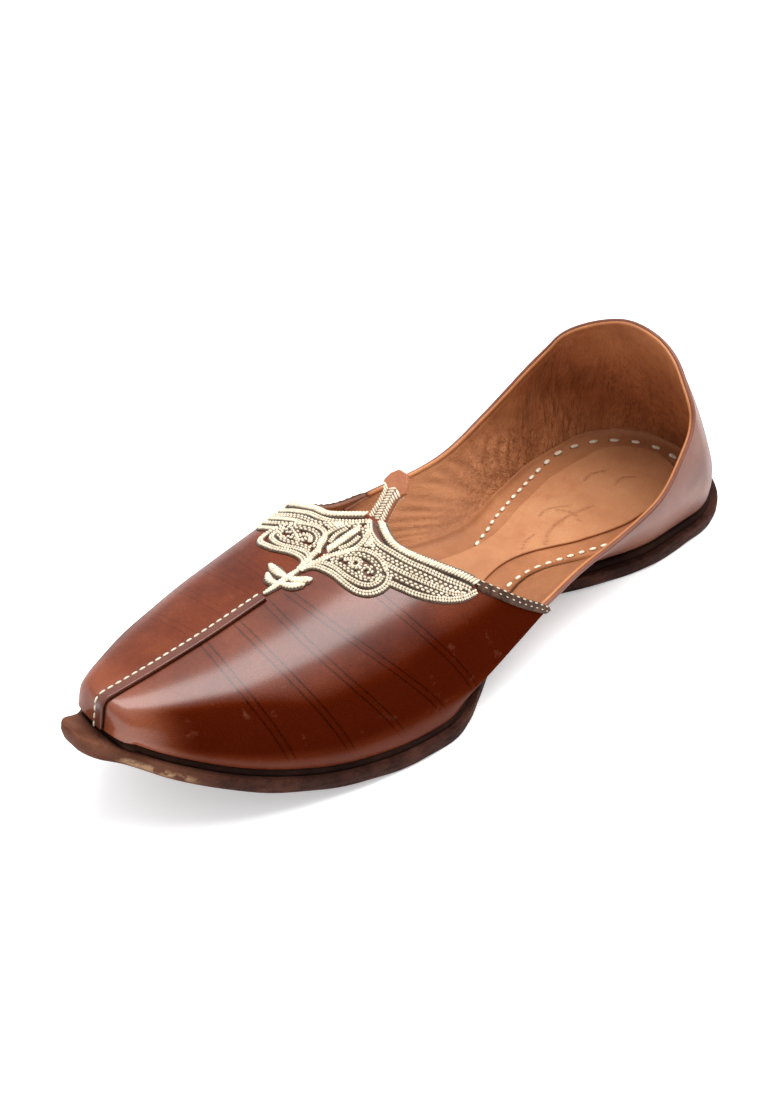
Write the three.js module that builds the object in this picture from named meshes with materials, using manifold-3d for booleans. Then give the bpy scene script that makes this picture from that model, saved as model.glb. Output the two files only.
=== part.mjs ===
// Mojari shoe: a traditional slip-on with a flat leather sole, a raised toe seam and an embroidered throat.
// Millimetres. +X runs from the heel to the toe, +Y is the shoe's left side, +Z is up.
// The origin is on the floor under the middle of the sole's length and width.
// The last is straight, so the shoe fits either foot.
import * as THREE from 'three';
import { mergeVertices } from 'three/addons/utils/BufferGeometryUtils.js';
import Module from 'manifold-3d';

// Main sizes
const soleLength = 290;
const ballWidth = 100;
const instepHeight = 62;
const toeSpring = 36.5;
const archLift = 3;
const toeSwing = -3;

// Thicknesses and clearances
const outsoleThickness = 5.6;
const midsoleThickness = 2.4;
const insoleThickness = 1.2;
const sockThickness = 0.9;
const upperWall = 1.6;
const vampStep = 1.0;
const gap = 0.3;

// Ledges and edges
const heelLedge = 2.5;
const sideLedge = 2.8;
const toeLedge = 9;
const midsoleLedge = 1.1;
const soleBevel = 1.0;
const sockMargin = 13;
const tipCorner = 5;
const toeBoxCorner = 5;
const heelRadius = 34;

// Trim
const seamWidth = 4.2;
const seamHeight = 1.6;
const seamEnd = 0.745;
const throatSkew = 12;
const embroideryThickness = 0.9;
const bindingWidth = 3.4;
// How many steps of the throat tables the binding follows, from the vamp's rear corner
const bindingShare = 2;
const bindingThickness = 1.1;
const pipingRadius = 1.0;
const pipingSeat = 0.5;
const tabThickness = 1.8;
const tabNeckWidth = 7;
const tabNeckLength = 9;
const tabTipWidth = 10.5;
const tabTipLength = 8.5;
const tabLean = 40;

// How full the arch of a section is: 2 is an ellipse, more is squarer
const fullness = 2.75;

// Where the sole leaves the floor, as shares of its length
const springStart = 0.66;
const springPower = 1.9;
const archStart = 0.22;
const archEnd = 0.60;

// Sole outline. along: share of the length; half: half width as a share of the ball width
const soleTable = table(['along', 'half'], [
  [0.00, 0.345],
  [0.05, 0.349],
  [0.11, 0.354],
  [0.19, 0.355],
  [0.28, 0.305],
  [0.38, 0.226],
  [0.50, 0.345],
  [0.62, 0.500],
  [0.73, 0.458],
  [0.84, 0.362],
  [0.93, 0.215],
  [0.97, 0.110],
  [1.00, 0.072],
]);

// Sections of the upper. along: share of the length; reach: widest half width as a share of the ball
// width; level: height of that place over the sole, as a share of the instep height; crown: height of
// the middle, as a share of the instep height; lean: how far the wall leans forward for its height
const sectionTable = table(['along', 'reach', 'level', 'crown', 'lean'], [
  [0.00, 0.340, 0.30, 1.38, 0.50],
  [0.02, 0.360, 0.30, 1.40, 0.43],
  [0.07, 0.378, 0.40, 1.40, 0.34],
  [0.165, 0.418, 0.55, 1.43, 0.09],
  [0.25, 0.438, 0.52, 1.38, 0],
  [0.345, 0.425, 0.36, 1.22, 0],
  [0.45, 0.455, 0.28, 1.05, 0],
  [0.50, 0.465, 0.22, 0.98, 0],
  [0.57, 0.478, 0.16, 0.965, 0],
  [0.65, 0.465, 0.12, 0.925, 0],
  [0.75, 0.425, 0.10, 0.87, 0],
  [0.85, 0.330, 0.08, 0.83, 0],
  [0.93, 0.195, 0.06, 0.82, -0.05],
  [0.97, 0.105, 0.05, 0.82, -0.20],
]);

// Collar. along: where the wall stands on the sole, share of the length; height: share of the instep height
const collarTable = table(['along', 'height'], [
  [0.0087, 1.255],
  [0.02, 1.22],
  [0.07, 1.10],
  [0.12, 0.95],
  [0.165, 0.83],
  [0.25, 0.585],
  [0.345, 0.455],
  [0.42, 0.43],
  [0.56, 0.42],
]);

// Rear edge of the vamp, from its corner over the sole to the middle of the throat. along: share of the
// length; turn: how far up the arch of the section, from 0 at the sole to 1 at the middle
const nearThroat = table(['step', 'along', 'turn'], [
  [0, 0.445, 0.11],
  [1, 0.486, 0.26],
  [2, 0.531, 0.465],
  [3, 0.572, 0.69],
  [4, 0.588, 0.85],
  [5, 0.578, 1.0],
]);
const farThroat = table(['step', 'along', 'turn'], [
  [0, 0.445, 0.11],
  [1, 0.512, 0.18],
  [2, 0.572, 0.37],
  [3, 0.609, 0.66],
  [4, 0.605, 0.85],
  [5, 0.578, 1.0],
]);

// Outline of the embroidery's near half seen from above, from its near end round to the middle of the
// front. along: share of the length; out: share of the ball width
const embroideryTable = table(['along', 'out'], [
  [0.535, 0.360],
  [0.548, 0.392],
  [0.570, 0.374],
  [0.592, 0.345],
  [0.611, 0.318],
  [0.628, 0.235],
  [0.641, 0.240],
  [0.655, 0.236],
  [0.668, 0.205],
  [0.672, 0.140],
  [0.674, 0.070],
  [0.684, 0.022],
  [0.694, 0.020],
  [0.690, 0.055],
  [0.700, 0.068],
  [0.713, 0.050],
  [0.737, 0.000],
]);

const wasm = await Module();
wasm.setup();

// Tables and curves

function table(columns, rows) {
  return rows.map((row) => Object.fromEntries(columns.map((name, i) => [name, row[i]])));
}

// A smooth curve through a table's column that never swings past its points
function curve(rows, key, value, keyScale = 1, valueScale = 1) {
  const x = rows.map((row) => row[key] * keyScale);
  const y = rows.map((row) => row[value] * valueScale);
  const last = x.length - 1;
  const step = x.slice(1).map((end, i) => end - x[i]);
  const rise = step.map((width, i) => (y[i + 1] - y[i]) / width);
  const tangent = y.map((_, i) => {
    if (i === 0) return rise[0];
    if (i === last) return rise[last - 1];
    if (rise[i - 1] * rise[i] <= 0) return 0;
    const a = 2 * step[i] + step[i - 1];
    const b = step[i] + 2 * step[i - 1];
    return (a + b) / (a / rise[i - 1] + b / rise[i]);
  });
  return (at) => {
    const p = Math.min(Math.max(at, x[0]), x[last]);
    let i = 0;
    while (i < last - 1 && p > x[i + 1]) i += 1;
    const t = (p - x[i]) / step[i];
    const u = 1 - t;
    return y[i] * u * u * (1 + 2 * t) + y[i + 1] * t * t * (3 - 2 * t)
      + tangent[i] * step[i] * t * u * u - tangent[i + 1] * step[i] * t * t * u;
  };
}

const clamp = (value) => Math.min(Math.max(value, 0), 1);
const mix = (a, b, t) => a + (b - a) * t;
const steps = (count) => Array.from({ length: count + 1 }, (_, i) => i / count);

// The sole's form

const footStart = heelLedge;
const footEnd = soleLength - toeLedge;
const soleWidthAt = curve(soleTable, 'along', 'half', soleLength, ballWidth);

// The share of its width that an outline keeps near a round end
function roundEnd(x, start, radius) {
  return Math.sqrt(1 - (1 - clamp((x - start) / radius)) ** 2);
}

function soleHalf(x) {
  const fromTip = tipCorner - (soleLength - x);
  const round = fromTip > 0 ? tipCorner - Math.sqrt(Math.max(tipCorner ** 2 - fromTip ** 2, 0)) : 0;
  return soleWidthAt(x) * roundEnd(x, 0, heelRadius) - round;
}

function lift(x) {
  const share = x / soleLength;
  const spring = toeSpring * Math.max((share - springStart) / (1 - springStart), 0) ** springPower;
  const arch = archLift * Math.sin(Math.PI * clamp((share - archStart) / (archEnd - archStart))) ** 2;
  return spring + arch;
}

// How far the toe swings to one side
function swing(x) {
  return toeSwing * Math.max((x / soleLength - archEnd) / (1 - archEnd), 0) ** 2;
}

// The height of a layer over the floor, its thickness counted square to the sole
function level(x, thickness) {
  const slope = lift(x + 0.5) - lift(x - 0.5);
  return lift(x) + thickness * Math.hypot(1, slope);
}

// The upper's form

const midsoleLow = outsoleThickness + gap;
const midsoleHigh = midsoleLow + midsoleThickness;
const footLow = midsoleHigh + gap;
const reachAt = curve(sectionTable, 'along', 'reach', soleLength, ballWidth);
const levelAt = curve(sectionTable, 'along', 'level', soleLength, instepHeight);
const crownAt = curve(sectionTable, 'along', 'crown', soleLength, instepHeight);
const leanAt = curve(sectionTable, 'along', 'lean', soleLength);

// How much of its full width a section keeps near the rounded ends of the foot
function endRound(x) {
  const toe = clamp((x - footEnd + toeBoxCorner) / toeBoxCorner);
  return roundEnd(x, footStart, heelRadius - heelLedge) * Math.max(1 - toe ** 2.6, 0) ** (1 / 2.6);
}

function footHalf(x) {
  return (soleWidthAt(Math.min(x, footEnd - toeBoxCorner)) - sideLedge) * endRound(x);
}

// A point of the outer surface: x is where its wall stands on the sole, turn goes from 0 at the sole
// to a quarter turn at the middle, side is 1 or -1
function upperPoint(x, turn, side) {
  const power = 2 / fullness;
  const low = level(x, footLow);
  const high = crownAt(x);
  const z = low + (high - low) * Math.max(Math.sin(turn), 0) ** power;
  const flare = Math.sin(Math.PI / 2 * clamp((z - low) / levelAt(x)));
  const foot = footHalf(x);
  const wide = Math.max(reachAt(x) * endRound(x), foot * 0.9);
  const y = mix(foot, wide, flare) * Math.max(Math.cos(turn), 0) ** power;
  return new THREE.Vector3(x + leanAt(x) * (z - low), side * y, z);
}

const quarterTurn = Math.PI / 2;

// The share of a column's lean that waits for its upper end
const leanLate = 0.55;

function turnForHeight(x, z) {
  const low = level(x, footLow);
  return Math.asin(clamp((z - low) / (crownAt(x) - low)) ** (fullness / 2));
}

// A column of points from the sole up to a top place, evenly spaced along the surface, with a skirt below
// the sole's face when it is to be trimmed there. It leans towards its top place late, so that columns
// never cross where the throat's edge runs back towards the middle
function column(bottomX, topX, topTurn, side, rows, skirt = 0) {
  const fine = steps(60).map((t) => {
    const place = mix(bottomX, topX, mix(t, t ** 6, leanLate));
    return upperPoint(place, topTurn * t ** 1.5, side);
  });
  const travelled = [0];
  for (let i = 1; i < fine.length; i += 1) travelled.push(travelled[i - 1] + fine[i].distanceTo(fine[i - 1]));
  const points = steps(rows).map((share) => {
    const want = share * travelled[travelled.length - 1];
    let i = 1;
    while (i < fine.length - 1 && travelled[i] < want) i += 1;
    const t = (want - travelled[i - 1]) / Math.max(travelled[i] - travelled[i - 1], 1e-9);
    return fine[i - 1].clone().lerp(fine[i], clamp(t));
  });
  if (skirt > 0) points.unshift(points[0].clone().setZ(points[0].z - skirt));
  return points;
}

// Open surfaces made of grids of points, and solids made from them

function surfaceFromGrids(grids) {
  const positions = [];
  for (const { grid, flip } of grids) {
    for (let i = 0; i < grid.length - 1; i += 1) {
      for (let j = 0; j < grid[i].length - 1; j += 1) {
        const a = grid[i][j];
        const b = grid[i + 1][j];
        const c = grid[i + 1][j + 1];
        const d = grid[i][j + 1];
        for (const face of [[a, b, c], [a, c, d]]) {
          const corners = flip ? [face[0], face[2], face[1]] : face;
          if (isDegenerate(corners)) continue;
          for (const point of corners) positions.push(point.x, point.y, point.z);
        }
      }
    }
  }
  const geometry = new THREE.BufferGeometry();
  geometry.setAttribute('position', new THREE.Float32BufferAttribute(positions, 3));
  return mergeVertices(geometry, 1e-3);
}

function isDegenerate([a, b, c]) {
  const near = 2e-3;
  return a.distanceTo(b) < near || b.distanceTo(c) < near || c.distanceTo(a) < near;
}

// The solid between two offsets of an open surface, closed along the surface's edges
function thicken(surface, inner, outer) {
  const plain = surface.clone();
  plain.computeVertexNormals();
  const at = plain.getAttribute('position');
  const normal = plain.getAttribute('normal');
  const count = at.count;
  const positions = [];
  for (const offset of [outer, inner]) {
    for (let i = 0; i < count; i += 1) {
      const point = new THREE.Vector3().fromBufferAttribute(at, i);
      point.addScaledVector(new THREE.Vector3().fromBufferAttribute(normal, i), offset);
      if (Math.abs(at.getY(i)) < 1e-6) point.y = 0;
      positions.push(point.x, point.y, point.z);
    }
  }
  const index = Array.from(plain.getIndex().array);
  const faces = [];
  const edges = new Map();
  for (let i = 0; i < index.length; i += 3) {
    const [a, b, c] = index.slice(i, i + 3);
    faces.push(a, b, c, count + a, count + c, count + b);
    for (const [from, to] of [[a, b], [b, c], [c, a]]) edges.set(`${from}_${to}`, [from, to]);
  }
  for (const [from, to] of edges.values()) {
    if (edges.has(`${to}_${from}`)) continue;
    faces.push(from, count + from, to, to, count + from, count + to);
  }
  return solidFrom(positions, faces);
}

function solidFrom(positions, faces) {
  const geometry = new THREE.BufferGeometry();
  geometry.setAttribute('position', new THREE.Float32BufferAttribute(positions, 3));
  geometry.setIndex(faces);
  return geometry;
}

function toManifold(geometry) {
  const plain = geometry.clone();
  plain.deleteAttribute('normal');
  plain.deleteAttribute('uv');
  const merged = mergeVertices(plain, 1e-4);
  return new wasm.Manifold(new wasm.Mesh({
    numProp: 3,
    vertProperties: new Float32Array(merged.getAttribute('position').array),
    triVerts: new Uint32Array(merged.getIndex().array),
  }));
}

function fromManifold(solid) {
  const mesh = solid.getMesh();
  return solidFrom(Array.from(mesh.vertProperties), Array.from(mesh.triVerts));
}

// Sole layers

// Stations along a foot shape, closer at the ends and with the sole's own break points
function stations(start, end, count) {
  const even = steps(count).map((t) => mix(start, end, (1 - Math.cos(Math.PI * t)) / 2));
  const breaks = [archStart, archEnd, springStart].map((share) => share * soleLength);
  const kept = even.filter((x) => breaks.every((b) => Math.abs(x - b) > 1.5));
  return [...kept, ...breaks.filter((b) => b > start && b < end)].sort((a, b) => a - b);
}

// The outline of a layer, moved in from its edge, for the near side. Points that the inset would carry
// back over earlier ones are left out
function insetOutline(half, start, end, inset, count) {
  const tiny = 0.02;
  const places = stations(start + tiny, end - tiny, count);
  return places.map((x) => {
    const step = 0.02;
    const ahead = half(Math.min(x + step, end));
    const behind = half(Math.max(x - step, start));
    const run = Math.min(x + step, end) - Math.max(x - step, start);
    const long = Math.hypot(run, ahead - behind);
    return { x: x + inset * (ahead - behind) / long, y: half(x) - inset * run / long };
  }).filter((point) => point.y > 0.4 && point.x > start + inset * 0.8 && point.x < end - inset * 0.8)
    .reduce((kept, point) => (kept.length && point.x < kept[kept.length - 1].x + tiny ? kept : [...kept, point]), []);
}

// A sole layer: rings of one outline at several heights, closed by flat strips across its bottom and top
function layer(rings) {
  const count = rings[0].outline.length;
  const positions = [];
  for (const { outline, height } of rings) {
    const near = outline.map(({ x, y }) => [x, y, level(x, height)]);
    const far = near.map(([x, y, z]) => [x, -y, z]).reverse();
    positions.push(...near.flat(), ...far.flat());
  }
  const loop = 2 * count;
  const faces = [];
  for (let ring = 0; ring < rings.length - 1; ring += 1) {
    for (let i = 0; i < loop; i += 1) {
      const a = ring * loop + i;
      const b = ring * loop + (i + 1) % loop;
      faces.push(a, b + loop, b, a, a + loop, b + loop);
    }
  }
  const top = (rings.length - 1) * loop;
  for (let i = 0; i < count - 1; i += 1) {
    const near = [i, i + 1];
    const far = [loop - 1 - i, loop - 2 - i];
    faces.push(near[0], near[1], far[1], near[0], far[1], far[0]);
    faces.push(top + near[0], top + far[1], top + near[1], top + near[0], top + far[0], top + far[1]);
  }
  return solidFrom(positions, faces);
}

function soleOutline(inset) {
  return insetOutline(soleHalf, 0, soleLength, inset, 52);
}

function footOutline(inset) {
  return insetOutline(footHalf, footStart, footEnd, inset, 48);
}

function outsole() {
  const outline = soleOutline(0);
  const high = outsoleThickness;
  return layer([
    { outline: drawnIn(outline, soleBevel), height: 0 },
    { outline: drawnIn(outline, soleBevel * 0.25), height: high * 0.22 },
    { outline, height: high * 0.6 },
    { outline: drawnIn(outline, soleBevel * 0.4), height: high },
  ]);
}

// The same stations drawn towards the middle, so that rings match one to one
function drawnIn(outline, inset) {
  return outline.map(({ x, y }) => ({
    x: mix(x, soleLength / 2, 2 * inset / soleLength),
    y: y - inset * clamp(y / ballWidth * 8),
  }));
}

function flatLayer(outline, low, high) {
  return layer([{ outline, height: low }, { outline, height: high }]);
}

// Upper

const vampColumns = 24;
const throatColumns = 14;
const vampRows = 11;
const quarterColumns = 24;
const quarterRows = 6;
const quarterTuck = 14;
const trimSkirt = 4;

function throatTop(rows, t) {
  const step = t * (rows.length - 1);
  const x = curve(rows, 'step', 'along', 1, soleLength)(step);
  const turn = curve(rows, 'step', 'turn', 1, quarterTurn)(step);
  return { x, turn };
}

// Places along the foot's outline between two stations, evenly spaced along its edge
function outlinePlaces(start, end, count) {
  const fine = steps(400).map((t) => {
    const x = mix(start, end, (1 - Math.cos(Math.PI * t)) / 2);
    return { x, y: footHalf(x) };
  });
  const travelled = [0];
  for (let i = 1; i < fine.length; i += 1) {
    travelled.push(travelled[i - 1] + Math.hypot(fine[i].x - fine[i - 1].x, fine[i].y - fine[i - 1].y));
  }
  const total = travelled[travelled.length - 1];
  return steps(count).map((share) => fine[travelled.findIndex((far) => far >= share * total - 1e-9)].x);
}

const vampStart = nearThroat[0].along * soleLength;
const vampPlaces = outlinePlaces(vampStart, footEnd, vampColumns);

// Where a column of the vamp stands on the sole and where it ends, from the corner to the toe
function vampColumn(i, throatRows) {
  const bottom = vampPlaces[i];
  if (i <= throatColumns) return { bottom, ...throatTop(throatRows, i / throatColumns) };
  const middle = throatRows[throatRows.length - 1].along * soleLength;
  const along = (i - throatColumns) / (vampColumns - throatColumns);
  return { bottom, x: mix(middle, footEnd, along), turn: quarterTurn };
}

function vampGrid(side, throatRows, skirt) {
  return steps(vampColumns).map((_, i) => {
    const { bottom, x, turn } = vampColumn(i, throatRows);
    return column(bottom, x, turn, side, vampRows, skirt);
  });
}

function vampSurface(skirt) {
  return surfaceFromGrids([
    { grid: vampGrid(1, nearThroat, skirt), flip: true },
    { grid: vampGrid(-1, farThroat, skirt), flip: false },
  ]);
}

const collarHeightAt = curve(collarTable, 'along', 'height', soleLength, instepHeight);

const quarterPlaces = outlinePlaces(footStart, vampStart + quarterTuck, quarterColumns);

function quarterGrid(side) {
  return quarterPlaces.map((x) => {
    return column(x, x, turnForHeight(x, collarHeightAt(x)), side, quarterRows, trimSkirt);
  });
}

function quarterSurface() {
  return surfaceFromGrids([
    { grid: quarterGrid(1), flip: true },
    { grid: quarterGrid(-1), flip: false },
  ]);
}

// Everything below the face that the upper stands on
function underfoot() {
  const outline = steps(70).map((t) => ({ x: mix(-ballWidth, soleLength + toeLedge, t), y: ballWidth }));
  return toManifold(layer([{ outline, height: -ballWidth }, { outline, height: footLow }]));
}

function upper() {
  const vamp = toManifold(thicken(vampSurface(trimSkirt), -upperWall, 0));
  const quarter = toManifold(thicken(quarterSurface(), -vampStep - upperWall, -vampStep));
  return fromManifold(vamp.add(quarter).subtract(underfoot()));
}

// The wall of the upper with a clearance inside it, which what lies inside the shoe is trimmed to
function wallRoom(clearance) {
  const inner = -vampStep - upperWall - clearance;
  const vamp = toManifold(thicken(vampSurface(trimSkirt), inner, upperWall));
  return vamp.add(toManifold(thicken(quarterSurface(), inner, upperWall)));
}

function insole() {
  const board = toManifold(flatLayer(footOutline(vampStep), insoleLow, insoleHigh));
  return fromManifold(largest(board.subtract(wallRoom(gap))));
}

function largest(solid) {
  const pieces = solid.decompose();
  return pieces.reduce((best, piece) => (piece.volume() > best.volume() ? piece : best));
}

// Trim on the vamp, cut from the space between two larger forms of the vamp

function vampSkin(thickness) {
  return toManifold(thicken(vampSurface(), gap, gap + thickness));
}

// Everything over and under an outline seen from above
function prism(points) {
  const shape = new THREE.Shape(points.map(([x, y]) => new THREE.Vector2(x, y)));
  return toManifold(new THREE.ExtrudeGeometry(shape, { depth: 2 * instepHeight, bevelEnabled: false }));
}

// The seam keeps to the shoe's straight middle line while the toe swings
function toeSeam() {
  const edge = (out) => steps(10).map((share) => {
    const x = mix(seamEnd * soleLength, soleLength, share);
    return [x, out * seamWidth / 2 - swing(x)];
  });
  const ridge = vampSkin(seamHeight).intersect(prism([...edge(-1), ...edge(1).reverse()]));
  return fromManifold(largest(ridge.subtract(underfoot())));
}

// The far half mirrors the near half, and lies further forward away from the middle
function skewed([x, y]) {
  const share = clamp((y / ballWidth - 0.05) / 0.25);
  return [x + throatSkew * share * share * (3 - 2 * share), -y];
}

function embroidery() {
  const near = embroideryTable.map(({ along, out }) => [along * soleLength, out * ballWidth]);
  const far = near.slice(0, -1).map(skewed).reverse();
  const panel = vampSkin(embroideryThickness)
    .intersect(prism([...near, ...far]))
    .subtract(toManifold(binding(1, nearThroat, 2 * gap)))
    .subtract(toManifold(binding(-1, farThroat, 2 * gap)));
  return fromManifold(largest(panel));
}

// The strip along the rear edge of the vamp, from its corner to where the embroidery starts, and the room
// that it needs when something else is to keep clear of it
function binding(side, throatRows, room = 0) {
  const columns = 8;
  const rows = 3;
  const samples = 60;
  const last = throatRows.length - 1;
  const edgeAt = (step) => {
    const { x, turn } = throatTop(throatRows, step / last);
    return upperPoint(x, turn, side);
  };
  const nudge = 0.05;
  const perStep = edgeAt(bindingShare + nudge).distanceTo(edgeAt(bindingShare)) / nudge;
  const reach = bindingShare + room / perStep;
  const grid = steps(columns).map((share) => {
    const place = share * reach / last;
    const { x, turn } = throatTop(throatRows, place);
    const i = place * throatColumns;
    const bottom = mix(vampPlaces[Math.floor(i)], vampPlaces[Math.ceil(i)], i - Math.floor(i));
    const fine = column(bottom, x, turn, side, samples).reverse();
    const length = fine.reduce((sum, point, k) => (k > 0 ? sum + point.distanceTo(fine[k - 1]) : 0), 0);
    return steps(rows).map((row) => {
      const at = Math.min(row * (bindingWidth + room) / length, 1) * samples;
      const low = Math.floor(at);
      return fine[low].clone().lerp(fine[Math.min(low + 1, samples)], at - low);
    });
  });
  const flip = side < 0;
  return thicken(surfaceFromGrids([{ grid, flip }]), gap - room, gap + bindingThickness + room);
}

// A rod of round section along a line of points
function rod(points, radius, sides = 8) {
  const positions = [];
  points.forEach((point, i) => {
    const ahead = points[Math.min(i + 1, points.length - 1)];
    const behind = points[Math.max(i - 1, 0)];
    const along = ahead.clone().sub(behind).normalize();
    const across = new THREE.Vector3(0, 0, 1).cross(along).normalize();
    const up = along.clone().cross(across);
    for (let k = 0; k < sides; k += 1) {
      const angle = 2 * Math.PI * k / sides;
      const out = across.clone().multiplyScalar(radius * Math.cos(angle)).addScaledVector(up, radius * Math.sin(angle));
      positions.push(...point.clone().add(out).toArray());
    }
  });
  const faces = [];
  for (let i = 0; i < points.length - 1; i += 1) {
    for (let k = 0; k < sides; k += 1) {
      const a = i * sides + k;
      const b = i * sides + (k + 1) % sides;
      faces.push(a, b, b + sides, a, b + sides, a + sides);
    }
  }
  const end = (points.length - 1) * sides;
  for (let k = 1; k < sides - 1; k += 1) {
    faces.push(0, k + 1, k, end, end + k, end + k + 1);
  }
  return solidFrom(positions, faces);
}

// The rolled edge of the lining, over the middle of the quarters' top edge
function collarPiping() {
  const limit = vampStart - 2 * pipingRadius;
  const rim = (x) => upperPoint(x, turnForHeight(x, collarHeightAt(x)), 1);
  const seats = quarterPlaces.map((x) => {
    const top = rim(x);
    const along = rim(x + 0.5).sub(rim(Math.max(x - 0.5, footStart))).normalize();
    const down = upperPoint(x, turnForHeight(x, collarHeightAt(x)) * 0.98, 1).sub(top);
    const outward = along.clone().cross(down).normalize();
    const up = along.clone().cross(outward);
    top.addScaledVector(outward, -vampStep - upperWall / 2).addScaledVector(up, pipingSeat + pipingRadius);
    return { x, top };
  });
  const after = seats.findIndex(({ x }) => x >= limit);
  const [from, to] = [seats[after - 1], seats[after]];
  const end = from.top.clone().lerp(to.top, (limit - from.x) / (to.x - from.x));
  const half = [...seats.slice(0, after).map(({ top }) => top), end];
  half[0].y = 0;
  const far = half.slice(1).map((point) => point.clone().setY(-point.y)).reverse();
  return rod([...far, ...half], pipingRadius);
}

function throatTab() {
  const neck = tabNeckWidth / 2;
  const wide = tabTipWidth / 2;
  const point = wide * 0.35;
  const shoulder = tabNeckLength + tabTipLength * 0.35;
  const cheek = tabNeckLength + tabTipLength * 0.7;
  const end = tabNeckLength + tabTipLength;
  const outline = [[-neck, 0], [neck, 0], [neck, tabNeckLength], [wide, shoulder], [wide * 0.8, cheek],
    [point, end], [-point, end], [-wide * 0.8, cheek], [-wide, shoulder], [-neck, tabNeckLength]];
  const shape = new THREE.Shape(outline.map(([across, up]) => new THREE.Vector2(across, up)));
  const plate = new THREE.ExtrudeGeometry(shape, { depth: tabThickness, bevelEnabled: false });
  plate.translate(0, 0, -tabThickness / 2);
  plate.rotateX(quarterTurn).rotateZ(-quarterTurn);
  plate.rotateY(-THREE.MathUtils.degToRad(tabLean));
  const root = nearThroat[nearThroat.length - 1].along * soleLength;
  plate.translate(root - gap - tabThickness / 2, 0, crownAt(root) - upperWall / 2);
  return plate;
}

const group = new THREE.Group();

function addPiece(name, geometry, color, roughness) {
  const material = new THREE.MeshStandardMaterial({ color, roughness, metalness: 0 });
  const mesh = new THREE.Mesh(geometry, material);
  mesh.name = name;
  group.add(mesh);
}

const insoleLow = footLow;
const insoleHigh = insoleLow + insoleThickness;
const sockLow = insoleHigh + gap;

addPiece('outsole', outsole(), 0x5a3024, 0.7);
addPiece('midsole', flatLayer(footOutline(-midsoleLedge), midsoleLow, midsoleHigh), 0x2a1a16, 0.8);
addPiece('upper', upper(), 0x7a3420, 0.4);
addPiece('insole', insole(), 0xb0713f, 0.7);
addPiece('sock', flatLayer(footOutline(sockMargin), sockLow, sockLow + sockThickness), 0xd79a5f, 0.6);

addPiece('toe_seam', toeSeam(), 0x6a2c1a, 0.45);
addPiece('throat_embroidery', embroidery(), 0xe8dcc0, 0.8);
addPiece('throat_binding_near', binding(1, nearThroat), 0x4a3a30, 0.6);
addPiece('throat_binding_far', binding(-1, farThroat), 0x4a3a30, 0.6);
addPiece('collar_piping', collarPiping(), 0xc9773a, 0.5);
addPiece('throat_tab', throatTab(), 0xa8643e, 0.6);

// The origin comes to the middle of the sole
function settle(geometry) {
  const at = geometry.getAttribute('position');
  for (let i = 0; i < at.count; i += 1) {
    const x = at.getX(i);
    at.setXYZ(i, x - soleLength / 2, at.getY(i) + swing(x), at.getZ(i));
  }
}

group.children.forEach((mesh) => settle(mesh.geometry));

export default group;
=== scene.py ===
# Mojari shoe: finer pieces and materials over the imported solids.
# Sizes are millimetres in the frame that the solids were drawn in: heel at x = 0, toe at x = SOLE_LENGTH,
# and both sides the same. place() swings the toe, moves the origin and gives metres.
import math

import bpy
import numpy as np
from mathutils import Matrix


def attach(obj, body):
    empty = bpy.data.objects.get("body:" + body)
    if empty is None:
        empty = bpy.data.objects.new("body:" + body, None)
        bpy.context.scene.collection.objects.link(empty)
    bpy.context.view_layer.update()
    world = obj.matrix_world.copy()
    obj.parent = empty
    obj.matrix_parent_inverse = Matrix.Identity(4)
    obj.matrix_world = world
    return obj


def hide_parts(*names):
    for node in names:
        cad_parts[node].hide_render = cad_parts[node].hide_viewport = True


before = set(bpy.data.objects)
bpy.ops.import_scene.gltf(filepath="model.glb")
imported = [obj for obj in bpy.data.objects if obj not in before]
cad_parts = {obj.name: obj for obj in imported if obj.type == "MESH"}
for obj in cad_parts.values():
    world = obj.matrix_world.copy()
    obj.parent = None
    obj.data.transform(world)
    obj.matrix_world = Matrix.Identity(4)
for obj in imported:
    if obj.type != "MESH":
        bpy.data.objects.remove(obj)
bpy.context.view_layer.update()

# Main sizes, the same as the solids'
SOLE_LENGTH = 290.0
BALL_WIDTH = 100.0
INSTEP_HEIGHT = 62.0
TOE_SPRING = 36.5
ARCH_LIFT = 3.0
TOE_SWING = -3.0
OUTSOLE_THICKNESS = 5.6
MIDSOLE_THICKNESS = 2.4
INSOLE_THICKNESS = 1.2
SOCK_THICKNESS = 0.9
UPPER_WALL = 1.6
VAMP_STEP = 1.0
GAP = 0.3
HEEL_LEDGE = 2.5
SIDE_LEDGE = 2.8
TOE_LEDGE = 9.0
MIDSOLE_LEDGE = 1.1
SOCK_MARGIN = 13.0
TIP_CORNER = 5.0
TOE_BOX_CORNER = 5.0
HEEL_RADIUS = 34.0
SEAM_WIDTH = 4.2
SEAM_END = 0.745
BINDING_WIDTH = 3.4
BINDING_REACH = 2.0
TAB_THICKNESS = 1.8
TAB_NECK_WIDTH = 7.0
TAB_NECK_LENGTH = 9.0
TAB_TIP_WIDTH = 10.5
TAB_TIP_LENGTH = 8.5
TAB_LEAN = 40.0
FULLNESS = 2.75
LEAN_LATE = 0.55
SPRING_START = 0.66
SPRING_POWER = 1.9
ARCH_START = 0.22
ARCH_END = 0.60
QUARTER_TUCK = 14.0

GROOVE_SPACING = 2.4

# along, half width as a share of the ball width
SOLE_TABLE = np.array([
    [0.00, 0.345], [0.05, 0.349], [0.11, 0.354], [0.19, 0.355], [0.28, 0.305], [0.38, 0.226], [0.50, 0.345],
    [0.62, 0.500], [0.73, 0.458], [0.84, 0.362], [0.93, 0.215], [0.97, 0.110], [1.00, 0.072],
])

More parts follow.
